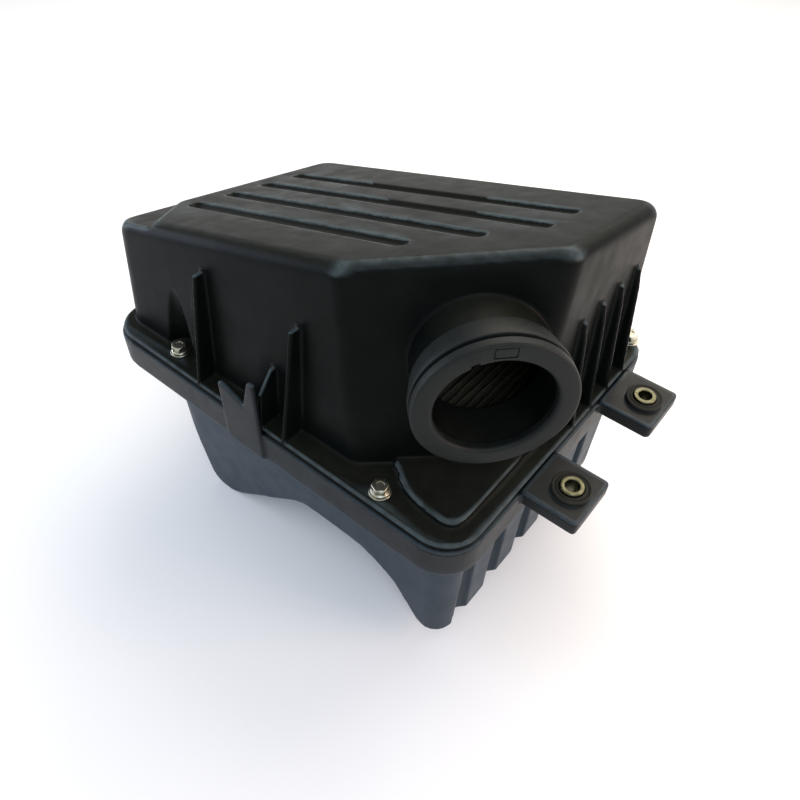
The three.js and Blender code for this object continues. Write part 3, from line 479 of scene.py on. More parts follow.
def all_ribs():
    ribs = [rib((x, front_wall(x)), (0, -1), front_wall(x) - COVER_FLANGE_INSET - CLEARANCE, FRONT_RIB_HEIGHT)
            for x in FRONT_RIB_AT]
    web_wall = front_wall(WEB_X)
    ribs.append(rib((WEB_X, web_wall), (0, -1), web_wall - COVER_FLANGE_INSET - CLEARANCE, WEB_HEIGHT,
                    web_wall - COVER_FLANGE_INSET - WALL))
    for i in range(SIDE_RIB_COUNT):
        y = SIDE_RIB_FIRST + i * SIDE_RIB_PITCH
        reach = FLANGE_LENGTH - COVER_RIGHT - COVER_FLANGE_INSET - CLEARANCE
        ribs.append(rib((COVER_RIGHT, y), (1, 0), reach, SIDE_RIB_HEIGHT))
    return ribs


# %% [markdown]
# Each cover screw needs room for a socket, so the wall is scooped out above it with a tall narrow cone.
# The screws' places are read from the frame.

# %% Screw places and pockets
SCREW_COUNT = 4
POCKET_RADIUS, POCKET_TIP, POCKET_HEIGHT = 11.5, 2.0, 66.0
SCREW_RADIUS = 2.5
SCREW_HOLE = SCREW_RADIUS + CLEARANCE
screw_places = [drawn_round(f"cover_screw_{i + 1}")[0] for i in range(SCREW_COUNT)]
print("screws at", [(round(p.x, 1), round(p.y, 1)) for p in screw_places])


def pockets(extra, base):
    return [post("pocket", (p.x, p.y), base, POCKET_HEIGHT + extra, POCKET_RADIUS + extra, POCKET_TIP + extra)
            for p in screw_places]


# %% [markdown]
# The outlet is a short round tube that leaves the chamfered corner level. Its direction is the same for the
# tube, its bore and the collar on its mouth, so all three are drawn about Z and laid down by one matrix.

# %% The outlet's axis
OUTLET_HEIGHT, OUTLET_TURN = 66.0, 47.0
OUTLET_RADIUS, OUTLET_WALL = 33.0, 3.5
OUTLET_REACH, OUTLET_SHIFT, OUTLET_ROOT = 22.5, 16.0, 60.0

turn = math.radians(OUTLET_TURN)
outlet_direction = Vector((math.sin(turn), -math.cos(turn), 0))
lean_share = OUTLET_HEIGHT / top_height(*chamfer_start)
chamfer_middle = Vector(((chamfer_start[0] + chamfer_end[0] - CHAMFER_LEAN_X * lean_share) / 2,
                         (chamfer_start[1] + chamfer_end[1] + CHAMFER_LEAN_Y * lean_share) / 2,
                         OUTLET_HEIGHT))
outlet_mouth = (chamfer_middle + Vector((CHAMFER_X, CHAMFER_Y, 0)).normalized() * OUTLET_SHIFT
                + outlet_direction * OUTLET_REACH)
LAY_ALONG_OUTLET = (Matrix.Translation(outlet_mouth)
                    @ outlet_direction.to_track_quat("Z", "Y").to_matrix().to_4x4())


def along_outlet(made):
    made.data.transform(LAY_ALONG_OUTLET)
    return made


print("outlet mouth at", [round(v, 1) for v in outlet_mouth])

# %% [markdown]
# The low platform under the outlet squares off the cut corner again and covers the filter's corner. It has a
# rolled edge that catches a long highlight in the real light, so it is a plate with a rounded top edge.
# A bite is left out of it around the front screw. The edge map is cleared inside the outlet once the cover
# is moulded, so that no painted edge highlight speckles the bore's rim.

# %% Putting the cover together
STEP_HEIGHT, STEP_FRONT, STEP_SIDE_INSET, STEP_EDGE = 7.3, 14.0, 0.4, 1.8
STEP_NOTCH = [(13, 28), (22, 24), (25, 19), (42, STEP_FRONT)]    # from the chamfer's start, clear of a screw
STEP_TAIL = (30, 14)             # how far the step runs on under the cover
SEAT_MARGIN, SEAT_LEFT_MARGIN, SEAT_FRONT_MARGIN, SEAT_DEPTH, SEAT_CORNER = 1.0, 6.0, 15.0, 6.0, 8.0
CASE_LEFT = 38.0
seat_plan = rectangle(CASE_LEFT + SEAT_LEFT_MARGIN, COVER_RIGHT - WALL - SEAT_MARGIN,
                      FRONT_AT_RIGHT + WALL + SEAT_FRONT_MARGIN, COVER_BACK - WALL - SEAT_MARGIN)


def softened(profile, passes=2, cut=4.0):
    """Cuts the corners of a closed outline again and again, which turns them into curves."""
    for _ in range(passes):
        softer = []
        for i, (x, y) in enumerate(profile):
            after_x, after_y = profile[(i + 1) % len(profile)]
            length = math.hypot(after_x - x, after_y - y)
            share = min(0.25, cut / length)
            softer += [(x + (after_x - x) * share, y + (after_y - y) * share),
                       (after_x - (after_x - x) * share, after_y - (after_y - y) * share)]
        profile = softer
    return profile


def make_step():
    side, back = COVER_RIGHT - STEP_SIDE_INSET, chamfer_end[1] + STEP_TAIL[1]
    plan = [(chamfer_start[0] + x, y) for x, y in STEP_NOTCH]
    plan += [(side, STEP_FRONT), (side, back), (COVER_RIGHT - STEP_TAIL[0], back)]
    outline = softened(plan, 4, 6.0)
    return rolled(loft("step", [[(x, y, z) for x, y in outline] for z in (-1, STEP_HEIGHT)]), STEP_EDGE, 50)


def without_edge_sheen(made, start, along, radius):
    """Clears the edge map on the walls of a round passage, so that no painted edge highlight lies there."""
    to_house = TO_FRAME.inverted()
    for vertex, edge_sheen in zip(made.data.vertices, made.data.attributes["edge_bulge"].data):
        arm = to_house @ vertex.co - start
        if (arm - along * arm.dot(along)).length < radius:
            edge_sheen.value = FLAT_LEVEL
    return made


def make_cover():
    cover = cushion_plate("cover", inset(flange_plan, COVER_FLANGE_INSET), FLANGE_CORNER - COVER_FLANGE_INSET,
                          -1, COVER_FLANGE_THICKNESS, 1.2)
    tube = along_outlet(post("tube", (0, 0), -OUTLET_ROOT, 0, OUTLET_RADIUS, segments=96))
    combine(cover, [cover_block("outside", 0, -2), make_step(), tube] + all_ribs(), "UNION")
    combine(cover, pockets(0, COVER_FLANGE_THICKNESS), "DIFFERENCE")
    combine(cover, [channel(row, CHANNEL_DEPTH) for row in range(CHANNEL_COUNT)], "DIFFERENCE")
    combine(cover, [low_corner(FACET_DEPTH)], "DIFFERENCE")

    core = cover_block("core", WALL, -2)
    combine(core, pockets(WALL, -1), "DIFFERENCE")
    combine(core, [channel(row, CHANNEL_DEPTH + WALL, WALL) for row in range(CHANNEL_COUNT)], "DIFFERENCE")
    combine(core, [low_corner(FACET_DEPTH + WALL, WALL)], "DIFFERENCE")
    bore = along_outlet(post("bore", (0, 0), -OUTLET_ROOT, 1, OUTLET_RADIUS - OUTLET_WALL, segments=96))
    seat = plate("seat", seat_plan, SEAT_CORNER, -1, STEP_HEIGHT - WALL)
    holes = [post("hole", (p.x, p.y), -1, COVER_FLANGE_THICKNESS + 1, SCREW_HOLE) for p in screw_places]
    combine(cover, [core, bore, seat] + holes, "DIFFERENCE")
    below = block("below", (-20, -20, -30), (FLANGE_LENGTH + 20, FLANGE_DEPTH + 20, CLEARANCE))
    combine(cover, [below], "DIFFERENCE")
    return without_edge_sheen(finished(moulded(cover), "cover_moulding", "cover", "cover_plastic", "upper_cover"),
                  outlet_mouth, outlet_direction, OUTLET_RADIUS - OUTLET_WALL / 2)


make_cover()

# %% [markdown]
# ## The lower case
# The case hangs below the flange. Seen from the front it has a deep belly on the left, an arch that
# clears whatever is beneath the housing, and a lobe on the right. One drawing of that front view, run
# from front to back, is crossed with a drafted plan, and what they share is the case. It is the same
# construction as cutting a block on a bandsaw from two sides.

# %% The case's front view and plan
CASE_DEPTH = 115.0
CASE_RIGHT = FLANGE_LENGTH - 7.0
CASE_FRONT, CASE_BACK = 9.0, FLANGE_DEPTH - 10.0
CASE_DRAFT, CASE_CORNER = 0.035, 14.0
BELLY_LEAN, BELLY_WIDTH = 18.0, 20.0
ARCH_HEIGHT, ARCH_LENGTH, ARCH_END = 60.0, 44.0, CASE_RIGHT - 59.0
ARCH_START = ARCH_END - ARCH_LENGTH
LOBE_DEPTH, LOBE_WIDTH, LOBE_SLOPE = 101.0, 19.0, 38.0
SKIRT_HEIGHT, SEAT_LEDGE = 19.0, 7.0
CASE_EDGE = 3.5                  # radius along the belly's and the lobe's lower edges
TOE_RISE, TOE_RUN = 6.0, 5.0     # cut-off of their outer lower corners
KNEE_LEAN, KNEE_DEPTH = 0.15, 0.6             # where the left wall bends: shares of its lean and of the arch
ARCH_EASE_RUN, ARCH_EASE_DROP = 8.0, 4.0      # the slope's last part before the arch's roof
SHOULDER_SHARE, SHOULDER_DROP = 0.45, 14.0    # the lobe's shoulder, along its slope and under the roof
SLANT_SHARE = 0.4                # how far a sloping wall moves sideways when it moves in
RIM_LAP = 5.0                    # how far the block runs up into the rim


def case_profile(distance):
    """The case's front view, as (X, Z) points, with its walls moved in by a distance."""
    slant = distance * SLANT_SHARE
    left, right = CASE_LEFT + distance, CASE_RIGHT - distance
    roof, belly, lobe = (distance - depth for depth in (ARCH_HEIGHT, CASE_DEPTH, LOBE_DEPTH))
    return [(left, RIM_LAP), (left + BELLY_LEAN * KNEE_LEAN, -ARCH_HEIGHT * KNEE_DEPTH),
            (left + BELLY_LEAN, belly + TOE_RISE), (left + BELLY_LEAN + TOE_RUN, belly),
            (left + BELLY_LEAN + BELLY_WIDTH - slant, belly),
            (ARCH_START - ARCH_EASE_RUN - slant, roof - ARCH_EASE_DROP), (ARCH_START, roof), (ARCH_END, roof),
            (CASE_RIGHT - LOBE_WIDTH - LOBE_SLOPE * SHOULDER_SHARE + slant, roof - SHOULDER_DROP),
            (CASE_RIGHT - LOBE_WIDTH + slant, lobe), (right - TOE_RUN, lobe), (right, lobe + TOE_RISE),
            (right, RIM_LAP)]


def case_block(name, distance):
    profile = softened(case_profile(distance))
    prism = loft(name, [[(x, y, z) for x, z in profile] for y in (-20, FLANGE_DEPTH + 20)])
    middle_x, middle_y = (CASE_LEFT + CASE_RIGHT) / 2, (CASE_FRONT + CASE_BACK) / 2
    outline = rounded(inset(rectangle(CASE_LEFT, CASE_RIGHT, CASE_FRONT, CASE_BACK), distance),
                      CASE_CORNER - distance)
    rings = []
    for z in (-CASE_DEPTH - RIM_LAP, 0, RIM_LAP):
        lean = CASE_DRAFT * max(-z, 0)
        rings.append([(x - (x - middle_x) / (CASE_RIGHT - middle_x) * lean * 0.5,
                       y - (y - middle_y) / (CASE_BACK - middle_y) * lean, z) for x, y in outline])
    combine(prism, [loft("plan", rings)], "INTERSECT")
    if distance == 0:
        rolled(prism, CASE_EDGE, 50)
    return prism


# %% [markdown]
# Upright flutes stiffen the right wall of the case, and two pairs of details belong to the mounting: the
# ears, flat plates with a turned-down rim that hold the rubber grommets, and a forked lug on the front of
# the rim that a clip or a loom hooks over. The ears' holes are placed from the grommets in the frame.

# %% Flutes, ears, lug and ports
FLUTE_FIRST, FLUTE_PITCH, FLUTE_RADIUS = 30.0, 31.0, 5.0
BOSS_RADIUS, BOSS_LENGTH = 8.0, 23.0
INSERT_HOLE = SCREW_HOLE + 1.7 + CLEARANCE
INSERT_HOLE_DEPTH = 21.0
EAR_COUNT = 2
EAR_REACH, EAR_WIDTH, EAR_TOP, EAR_THICKNESS, EAR_RIM = 31.0, 35.0, 2.0, 6.0, 2.5
EAR_HOLE = 8.7
LUG_WIDTH, LUG_LEFT_HEIGHT, LUG_RIGHT_HEIGHT = 28.5, 24.0, 38.0
LUG_LEFT_TIP, LUG_RIGHT_TIP = 3.0, 4.5
LUG_NOTCH_AT, LUG_NOTCH_HEIGHT, LUG_ROUND = 18.0, 17.5, 0.8
INLET_X, INLET_Z, INLET_WIDTH, INLET_HEIGHT, INLET_REACH = 84.0, -62.0, 62.0, 40.0, 12.0
PEG_RADIUS = 5.0
ear_places = [drawn_round(f"ear_grommet_{i + 1}")[0] for i in range(EAR_COUNT)]
peg_place = drawn_round("peg_bush")[0]


def flutes(extra):
    made = []
    y = FLUTE_FIRST
    while y < CASE_BACK - 20:
        made.append(post("flute", (CASE_RIGHT - 1, y), -CASE_DEPTH - 5, -SKIRT_HEIGHT - 6 + extra,
                         FLUTE_RADIUS + 2 + extra, FLUTE_RADIUS + extra))
        y += FLUTE_PITCH
    return made


def ear(y):
    outline = rectangle(FLANGE_LENGTH - COVER_FLANGE_INSET + CLEARANCE, FLANGE_LENGTH + EAR_REACH,
                        y - EAR_WIDTH / 2, y + EAR_WIDTH / 2)
    tab = cushion_plate("ear", outline, 2.6, EAR_TOP - EAR_THICKNESS - EAR_RIM, EAR_TOP, 0.8)
    relief = plate("relief", inset(outline, 2.5), 2, EAR_TOP - EAR_THICKNESS - EAR_RIM - 1,
                   EAR_TOP - EAR_THICKNESS)
    return combine(tab, [relief], "DIFFERENCE")


def forked_lug():
    outline = [(0, -SKIRT_HEIGHT), (LUG_WIDTH, -SKIRT_HEIGHT), (LUG_WIDTH, LUG_RIGHT_HEIGHT),
               (LUG_WIDTH - LUG_RIGHT_TIP, LUG_RIGHT_HEIGHT), (LUG_NOTCH_AT, LUG_NOTCH_HEIGHT),
               (LUG_LEFT_TIP, LUG_LEFT_HEIGHT), (0, LUG_LEFT_HEIGHT)]
    lug = loft("lug", [[(LUG_LEFT + x, y, z) for x, z in outline] for y in (-LUG_PROUD, -LUG_PROUD + WALL)])
    return rolled(lug, LUG_ROUND, 60)


def inlet_port(name, distance, y0, y1):
    half_width, half_height = INLET_WIDTH / 2 - distance, INLET_HEIGHT / 2 - distance
    outline = rounded(rectangle(INLET_X - half_width, INLET_X + half_width,
                                INLET_Z - half_height, INLET_Z + half_height), 12 - distance)
    return loft(name, [[(x, y, z) for x, z in outline] for y in (y0, y1)])


# %% [markdown]
# The core that hollows the case is the same block a wall thickness smaller, with the bosses left standing
# for the threaded inserts and a ledge left all round for the filter's frame.

# %% Putting the case together
def make_case():
    case = plate("case", flange_plan, FLANGE_CORNER, -SKIRT_HEIGHT, 0)
    combine(case, [plate("underside", inset(flange_plan, WALL), FLANGE_CORNER - WALL,
                         -SKIRT_HEIGHT - 1, -WALL)], "DIFFERENCE")
    above = block("above", (-20, -30, 0), (300, 260, 30))
    body = combine(case_block("body", 0), flutes(0) + [above], "DIFFERENCE")
    bosses = [post("boss", (p.x, p.y), -BOSS_LENGTH, -WALL / 2, BOSS_RADIUS - 0.6, BOSS_RADIUS)
              for p in screw_places]
    port = inlet_port("port", 0, CASE_BACK - 14, CASE_BACK + INLET_REACH - CASE_DRAFT * CASE_DEPTH)
    peg = post("peg", (peg_place.x, peg_place.y), -CASE_DEPTH + 1, -LOBE_DEPTH + WALL / 2, PEG_RADIUS)
    combine(case, [body, port, forked_lug(), peg] + bosses + [ear(p.y) for p in ear_places], "UNION")

    core = combine(case_block("core", WALL), flutes(WALL), "DIFFERENCE")
    throat = plate("throat", inset(seat_plan, SEAT_LEDGE), SEAT_CORNER, -SKIRT_HEIGHT, 5)
    room = block("room", (-20, -20, -CASE_DEPTH), (300, 240, -SEAT_DEPTH - WALL))
    combine(core, [combine(throat, [room], "UNION")], "INTERSECT")
    combine(core, [post("boss", (p.x, p.y), -BOSS_LENGTH - WALL, 0, BOSS_RADIUS + 0.1) for p in screw_places],
            "DIFFERENCE")
    seat = plate("seat", seat_plan, SEAT_CORNER, -SEAT_DEPTH, 5)
    bore = inlet_port("bore", WALL, CASE_BACK - 30, CASE_BACK + INLET_REACH + 5)
    holes = [post("hole", (p.x, p.y), -INSERT_HOLE_DEPTH, 1, INSERT_HOLE) for p in screw_places]
    holes += [post("hole", (p.x, p.y), -20, 20, EAR_HOLE) for p in ear_places]
    combine(case, [core, seat, bore] + holes, "DIFFERENCE")
    return finished(moulded(case), "case_moulding", "case", "case_plastic", "lower_case")


make_case()

# %% [markdown]
# ## The outlet's collar
# The intake hose slips over a thick collar on the tube's mouth. It is a turned shape: a rounded lip, a
# narrow groove just behind it, and a sleeve that grips the tube. A lathe profile gives the crisp groove that
# a recast voxel block would lose. A small raised pad and a gate mark on the lip break its perfect circle.

# %% The collar
COLLAR_RADIUS, COLLAR_BORE = OUTLET_RADIUS + CLEARANCE + 4.2, OUTLET_RADIUS - OUTLET_WALL - 2.0
COLLAR_LIP, COLLAR_GRIP = 5.0, 15.0
GROOVE_DEPTH, GROOVE_BACK, GROOVE_FRONT = 2.0, -2.0, 0.0
ROUND_STEPS = 5


def arc(centre, radius, start, end, steps=ROUND_STEPS):
    """Points of an arc in a (radius, height) profile, in degrees."""
    angles = [math.radians(start + (end - start) * k / steps) for k in range(steps + 1)]
    return [(centre[0] + radius * math.cos(a), centre[1] + radius * math.sin(a)) for a in angles]


def make_collar():
    grip = OUTLET_RADIUS + CLEARANCE
    lip, inner_lip, heel = 1.5, 2.2, 0.6
    profile = [(COLLAR_BORE, CLEARANCE), (grip, CLEARANCE), (grip, -COLLAR_GRIP)]
    profile += arc((grip + 1.8 - heel, -COLLAR_GRIP + heel), heel, -90, 0)
    profile += [(COLLAR_RADIUS - 0.2, GROOVE_BACK - 3.4)]
    profile += arc((COLLAR_RADIUS - 0.5, GROOVE_BACK - 0.5), 0.5, 0, 90)
    profile += [(COLLAR_RADIUS - GROOVE_DEPTH, z) for z in (GROOVE_BACK + 0.2, GROOVE_FRONT - 0.2)]
    profile += arc((COLLAR_RADIUS - 0.5, GROOVE_FRONT + 0.5), 0.5, -90, 0)
    profile += arc((COLLAR_RADIUS - lip, COLLAR_LIP - lip), lip, 0, 90)
    profile += arc((COLLAR_BORE + inner_lip, COLLAR_LIP - inner_lip), inner_lip, 90, 180)
    collar = turned("collar", profile, segments=160)
    pad_low, pad_high = COLLAR_BORE + 3.0, COLLAR_RADIUS - 2.6
    half, gap = 4.5, 0.6
    pad = cushion_plate("pad", rectangle(-half, half, pad_low, pad_high), 0.8,
                        COLLAR_LIP - 1, COLLAR_LIP - 0.02, 0.3)
    frame_cut = plate("frame_cut", rectangle(-half - gap, half + gap, pad_low - gap, pad_high + gap), 1.0,
                      COLLAR_LIP - 0.45, COLLAR_LIP + 1)
    gate = post("gate", (-11.5, COLLAR_BORE - 1.4), COLLAR_LIP - 2.4, COLLAR_LIP + 1, 2.2, segments=24)
    combine(collar, [frame_cut, gate], "DIFFERENCE")
    combine(collar, [pad], "UNION")
    return finished(along_outlet(collar), "outlet_collar_ring", "cover", "collar_rubber", "outlet_collar",
                    smooth_angle=40)


make_collar()

# %% [markdown]
# ## Screws, washers and threaded inserts
# The cover is held by flanged hexagon screws, cold-headed and zinc plated. A real head has its corners
# chamfered by a cone, a flange that slopes away from the hexagon, and a rolled thread. The
# cone is crossed with the hexagon by a Boolean. The thread is a loft whose radius follows the helix, so it
# is a real spiral and costs a few thousand faces.

# %% A flanged screw
THREAD_PITCH, THREAD_DEPTH = 0.8, 0.45
SCREW_LENGTH = 18.0
HEAD_ACROSS, HEAD_FLANGE = 8.0, 4.9


def threaded_shank(bottom, top):
    rings, around = [], 32
    count = int((top - bottom) / (THREAD_PITCH / 8))
    for r in range(count + 1):
        z = bottom + (top - bottom) * r / count
        point = clamped((z - bottom) / 1.5) * clamped((top - z) / 1.2)
        ring = []
        for k in range(around):
            flank = abs(2 * ((z / THREAD_PITCH - k / around) % 1) - 1)
            radius = SCREW_RADIUS - THREAD_DEPTH * (1 - flank * point)
            ring += spoke([(radius, z)], 2 * math.pi * k / around)
        rings.append(ring)
    return loft("shank", rings)


def make_screw(number):
    low, high = drawn_box(f"cover_screw_{number}")
    seat = low.z + SCREW_LENGTH
    corner = HEAD_ACROSS / math.sqrt(3)
    head = post("head", (0, 0), seat + 0.8, high.z, corner, segments=6)
    rolled(head, 0.25, segments=2)
    cone = post("cone", (0, 0), seat, high.z + 1.0, corner + 3.0, corner - 1.3, segments=64)
    combine(head, [cone], "INTERSECT")
    dimple = turned("dimple", [(0.0001, high.z - 0.4), (2.0, high.z - 0.4), (2.6, high.z + 1),
                               (0.0001, high.z + 1)], segments=32)
    combine(head, [dimple], "DIFFERENCE")
    flange = turned("flange", [(0.001, seat), (HEAD_FLANGE - 0.3, seat)]
                    + arc((HEAD_FLANGE - 0.45, seat + 0.45), 0.45, -60, 70)
                    + [(3.7, seat + 1.4), (0.001, seat + 1.6)], segments=64)
    shank = threaded_shank(low.z, seat + 0.6)
    combine(head, [flange, shank], "UNION")
    centre = screw_places[number - 1]
    head.data.transform(Matrix.Translation((centre.x, centre.y, 0)) @ Matrix.Rotation(0.35 * number, 4, "Z"))
    return finished(head, f"screw_{number}", f"screw_{number}", "zinc_steel", f"cover_screw_{number}",
                    smooth_angle=35)


for number in range(1, SCREW_COUNT + 1):
    make_screw(number)

# %% [markdown]
# The washers are stamped, so one edge is rolled over and the other is sharp. The inserts are brass, with a
# ring of straight knurls at each end that bite into the boss, and a waist between them.

# %% Washers and inserts
def make_washer(number):
    centre, outer, low, high = drawn_round(f"screw_washer_{number}")
    profile = [(SCREW_HOLE, low), (outer - 0.1, low), (outer, low + 0.1)]
    profile += arc((outer - 0.35, high - 0.35), 0.35, 0, 90)
    profile += arc((SCREW_HOLE + 0.2, high - 0.2), 0.2, 90, 180)
    return finished(turned("washer", profile, centre, 72), f"washer_{number}", f"screw_{number}",
                    "zinc_steel", f"screw_washer_{number}", smooth_angle=40)


def make_insert(number):
    centre, outer, low, high = drawn_round(f"thread_insert_{number}")
    waist, tooth, teeth = outer - 0.8, 0.3, 36
    levels = [(0.0, outer - 0.5), (0.04, outer), (0.38, outer), (0.40, waist), (0.60, waist), (0.62, outer),
              (0.96, outer), (1.0, outer - 0.4)]
    rings = []
    for k in range(teeth * 2):
        cut = tooth * (k % 2)
        profile = [(SCREW_HOLE, low)]
        profile += [(r - (cut if r >= outer - 0.01 else 0), low + share * (high - low))
                    for share, r in levels]
        rings.append(spoke(profile + [(SCREW_HOLE, high)], math.pi * k / teeth, centre))
    return finished(loft("insert", rings, closed=True), f"insert_{number}", "case", "insert_brass",
                    f"thread_insert_{number}", smooth_angle=30)


for number in range(1, SCREW_COUNT + 1):
    make_washer(number)
    make_insert(number)

# %% [markdown]
# ## Rubber bushes and steel sleeves
# Each ear is isolated by a rubber grommet, and a steel sleeve through it stops the bolt from crushing
# the rubber. The grommet is one turned profile with rounded flanges and a shallow ring moulded in its top
# face.
# The sleeve is rolled from strip, so it has a fine seam: the lathe stops just short of a full turn.

# %% Grommets, sleeves and the peg's bush
SLEEVE_BORE = 3.65               # radius that clears a 6 mm bolt


def make_grommet(number):
    centre, outer, low, high = drawn_round(f"ear_grommet_{number}")
    bore = drawn_round(f"ear_sleeve_{number}")[1] + CLEARANCE
    neck, thick = EAR_HOLE - CLEARANCE, high - EAR_TOP - CLEARANCE
    bottom_face, top_face = low + thick, high - thick
    round_edge, dish = 0.9, (outer + bore) / 2
    profile = arc((bore + 0.4, low + 0.4), 0.4, 180, 270)
    profile += arc((outer - round_edge, low + round_edge), round_edge, -90, 0)
    profile += arc((outer - 0.3, bottom_face - 0.3), 0.3, 0, 90, 2)
    profile += [(neck, bottom_face), (neck, top_face)]
    profile += arc((outer - 0.3, top_face + 0.3), 0.3, -90, 0, 2)
    profile += arc((outer - round_edge, high - round_edge), round_edge, 0, 90)
    profile += [(dish + 0.7, high), (dish + 0.3, high - 0.45), (dish - 0.3, high - 0.45), (dish - 0.7, high)]
    profile += arc((bore + 0.4, high - 0.4), 0.4, 90, 180)
    return finished(turned("grommet", profile, centre, 72), f"grommet_{number}", "case", "bush_rubber",
                    f"ear_grommet_{number}", smooth_angle=50)


def make_sleeve(number):
    centre, outer, low, high = drawn_round(f"ear_sleeve_{number}")
    edge, seam, seam_at, segments = 0.5, 0.03, math.radians(200), 72
    inside, outside = SLEEVE_BORE + edge, outer - edge
    profile = arc((inside, low + edge), edge, 180, 270, 3) + arc((outside, low + edge), edge, -90, 0, 3)
    profile += arc((outside, high - edge), edge, 0, 90, 3) + arc((inside, high - edge), edge, 90, 180, 3)
    rings = [spoke(profile, seam + (2 * math.pi - 2 * seam) * k / segments + seam_at, centre)
             for k in range(segments + 1)]
    return finished(loft("sleeve", rings), f"sleeve_{number}", "case", "zinc_steel", f"ear_sleeve_{number}",
                    smooth_angle=40)


def make_peg_bush():
    centre, outer, low, high = drawn_round("peg_bush")
    bore, waist, collar = PEG_RADIUS + CLEARANCE, outer - 2.0, (high - low) / 3
    profile = [(bore, low)] + arc((outer - 1.2, low + 1.2), 1.2, -90, 0)
    profile += arc((outer - 0.6, low + collar - 0.6), 0.6, 0, 90, 3)
    profile += [(waist + 0.5, low + collar), (waist, low + collar + 0.5), (waist, high - collar - 0.5),
                (waist + 0.5, high - collar)]
    profile += arc((outer - 0.6, high - collar + 0.6), 0.6, -90, 0, 3)
    profile += arc((outer - 0.8, high - 0.8), 0.8, 0, 90) + [(bore, high)]
    return finished(turned("bush", profile, centre, 72), "peg_rubber", "case", "bush_rubber", "peg_bush",
                    smooth_angle=50)


for number in range(1, EAR_COUNT + 1):
    make_grommet(number)
    make_sleeve(number)
make_peg_bush()

# %% [markdown]
# ## The panel filter
# The filter is a block of resin-treated paper folded like an accordion, cast into a soft polyurethane frame
# that is also its seal. The frame is a profile swept round a rounded rectangle, with a sealing bead on
# its top. The paper is one long zigzag with rounded folds, thickened and slightly uneven, because no
# folding machine keeps every pleat the same.

# %% The filter's frame
def swept(name, corners, radius, profile):
    """Sweeps a closed (inward distance, height) profile round an outline with round corners."""
    rings = []
    for inward, z in profile:
        rings.append([(x, y, z) for x, y in rounded(inset(corners, inward), max(radius - inward, 0.6), 8, 4)])
    return loft(name, rings, closed=True)


def make_seal():
    low, high = drawn_box("filter_seal")
    corners = rectangle(low.x, high.x, low.y, high.y)
    width, edge, bead = SEAT_LEDGE + 1.2, 0.9, 1.3
    top = high.z - bead
    profile = arc((edge, low.z + edge), edge, 270, 180, 3) + arc((edge, top - edge), edge, 180, 90, 3)
    middle = width * 0.42
    profile += [(middle - bead * 1.3, top)]
    profile += [(middle + bead * math.cos(math.radians(a)), top + bead * math.sin(math.radians(a)))
                for a in (150, 120, 90, 60, 30)]
    profile += [(middle + bead * 1.3, top), (width - 0.8, top), (width, top - 0.8), (width, low.z + 0.8),
                (width - 0.8, low.z)]
    seal = swept("seal", corners, SEAT_CORNER, profile)
    return finished(seal, "filter_frame", "filter", "seal_foam", "filter_seal", smooth_angle=60)


make_seal()


# %% The pleated paper
PLEAT_PITCH, PAPER_THICKNESS = 4.6, 0.7
PLEAT_ROWS = 36


def make_pleats():
    low, high = drawn_box("filter_media")
    folds = round((high.x - low.x - PAPER_THICKNESS) / PLEAT_PITCH)
    pitch = (high.x - low.x - PAPER_THICKNESS) / folds
    middle, swing = (low.z + high.z) / 2, (high.z - low.z) / 2 - 1.0
    per_fold = 12
    points, faces = [], []
    for step in range(folds * per_fold + 1):
        phase = step / per_fold
        wave = math.cos(2 * math.pi * phase)
        level = math.copysign(abs(wave) ** 0.32, wave)
        for row in range(PLEAT_ROWS + 1):
            along = row / PLEAT_ROWS
            y = low.y + (high.y - low.y) * along
            wander = 0.35 * math.sin(9 * along * math.pi + 1.7 * math.floor(phase * 2))
            wander *= (1 - abs(level) * 0.2) * clamped(phase) * clamped(folds - phase)
            drop = 0.5 * (0.5 + 0.5 * math.sin(3.1 * math.floor(phase) + 5 * along)) if level > 0 else 0
            points.append((low.x + PAPER_THICKNESS / 2 + pitch * phase + wander, y,
                           middle + level * swing - drop))
    rows = PLEAT_ROWS + 1
    for step in range(folds * per_fold):
        for row in range(PLEAT_ROWS):
            a = step * rows + row
            faces.append((a, a + rows, a + rows + 1, a + 1))
    paper = skin("paper", points, faces)
    applied(paper, "SOLIDIFY", thickness=PAPER_THICKNESS * 0.8, offset=0)
    print("pleats:", folds, "at", round(pitch, 2), "mm")
    return finished(paper, "pleated_paper", "filter", "filter_paper", "filter_media")


make_pleats()

# %% [markdown]
# ## Finishes
# Colours are written as sRGB hex, as a paint or plastics card gives them, and one function turns them into
# the linear values that the shader works in. One more function adds a node. Each of its inputs is given a
# plain value, a colour, or another node's output, so a material reads as a list of what it is made of.
# Pattern sizes are in millimetres: object coordinates are metres, so a noise whose patches are s
# millimetres across has a scale of 1000 / s. Two more functions lay colours over each other and press
# patterns into the surface, because every finish here does both.

# %% Colour and node helpers
MIX_SHARE, MIX_UNDER, MIX_OVER, MIX_COLOUR = 0, 6, 7, 2
PATCHY = 0.55                    # how rough the finer octaves of a noise are


def linear(hex_text):
    channels = [int(hex_text[i:i + 2], 16) / 255 for i in (1, 3, 5)]
    return tuple(c / 12.92 if c <= 0.04045 else ((c + 0.055) / 1.055) ** 2.4 for c in channels) + (1.0,)


def per_mm(size):
    return 1000.0 / size


def add(tree, kind, inputs=(), output=0, **settings):
    """Adds a node with its settings and links, by name or in their order, and returns one output."""
    made = tree.nodes.new("ShaderNode" + kind)
    for key, value in settings.items():
        setattr(made, key, value)
    for key, value in inputs.items() if isinstance(inputs, dict) else enumerate(inputs):
        if isinstance(value, bpy.types.NodeSocket):
            tree.links.new(value, made.inputs[key])
        else:
            made.inputs[key].default_value = linear(value) if isinstance(value, str) else value
    return made.outputs[output] if made.outputs else None


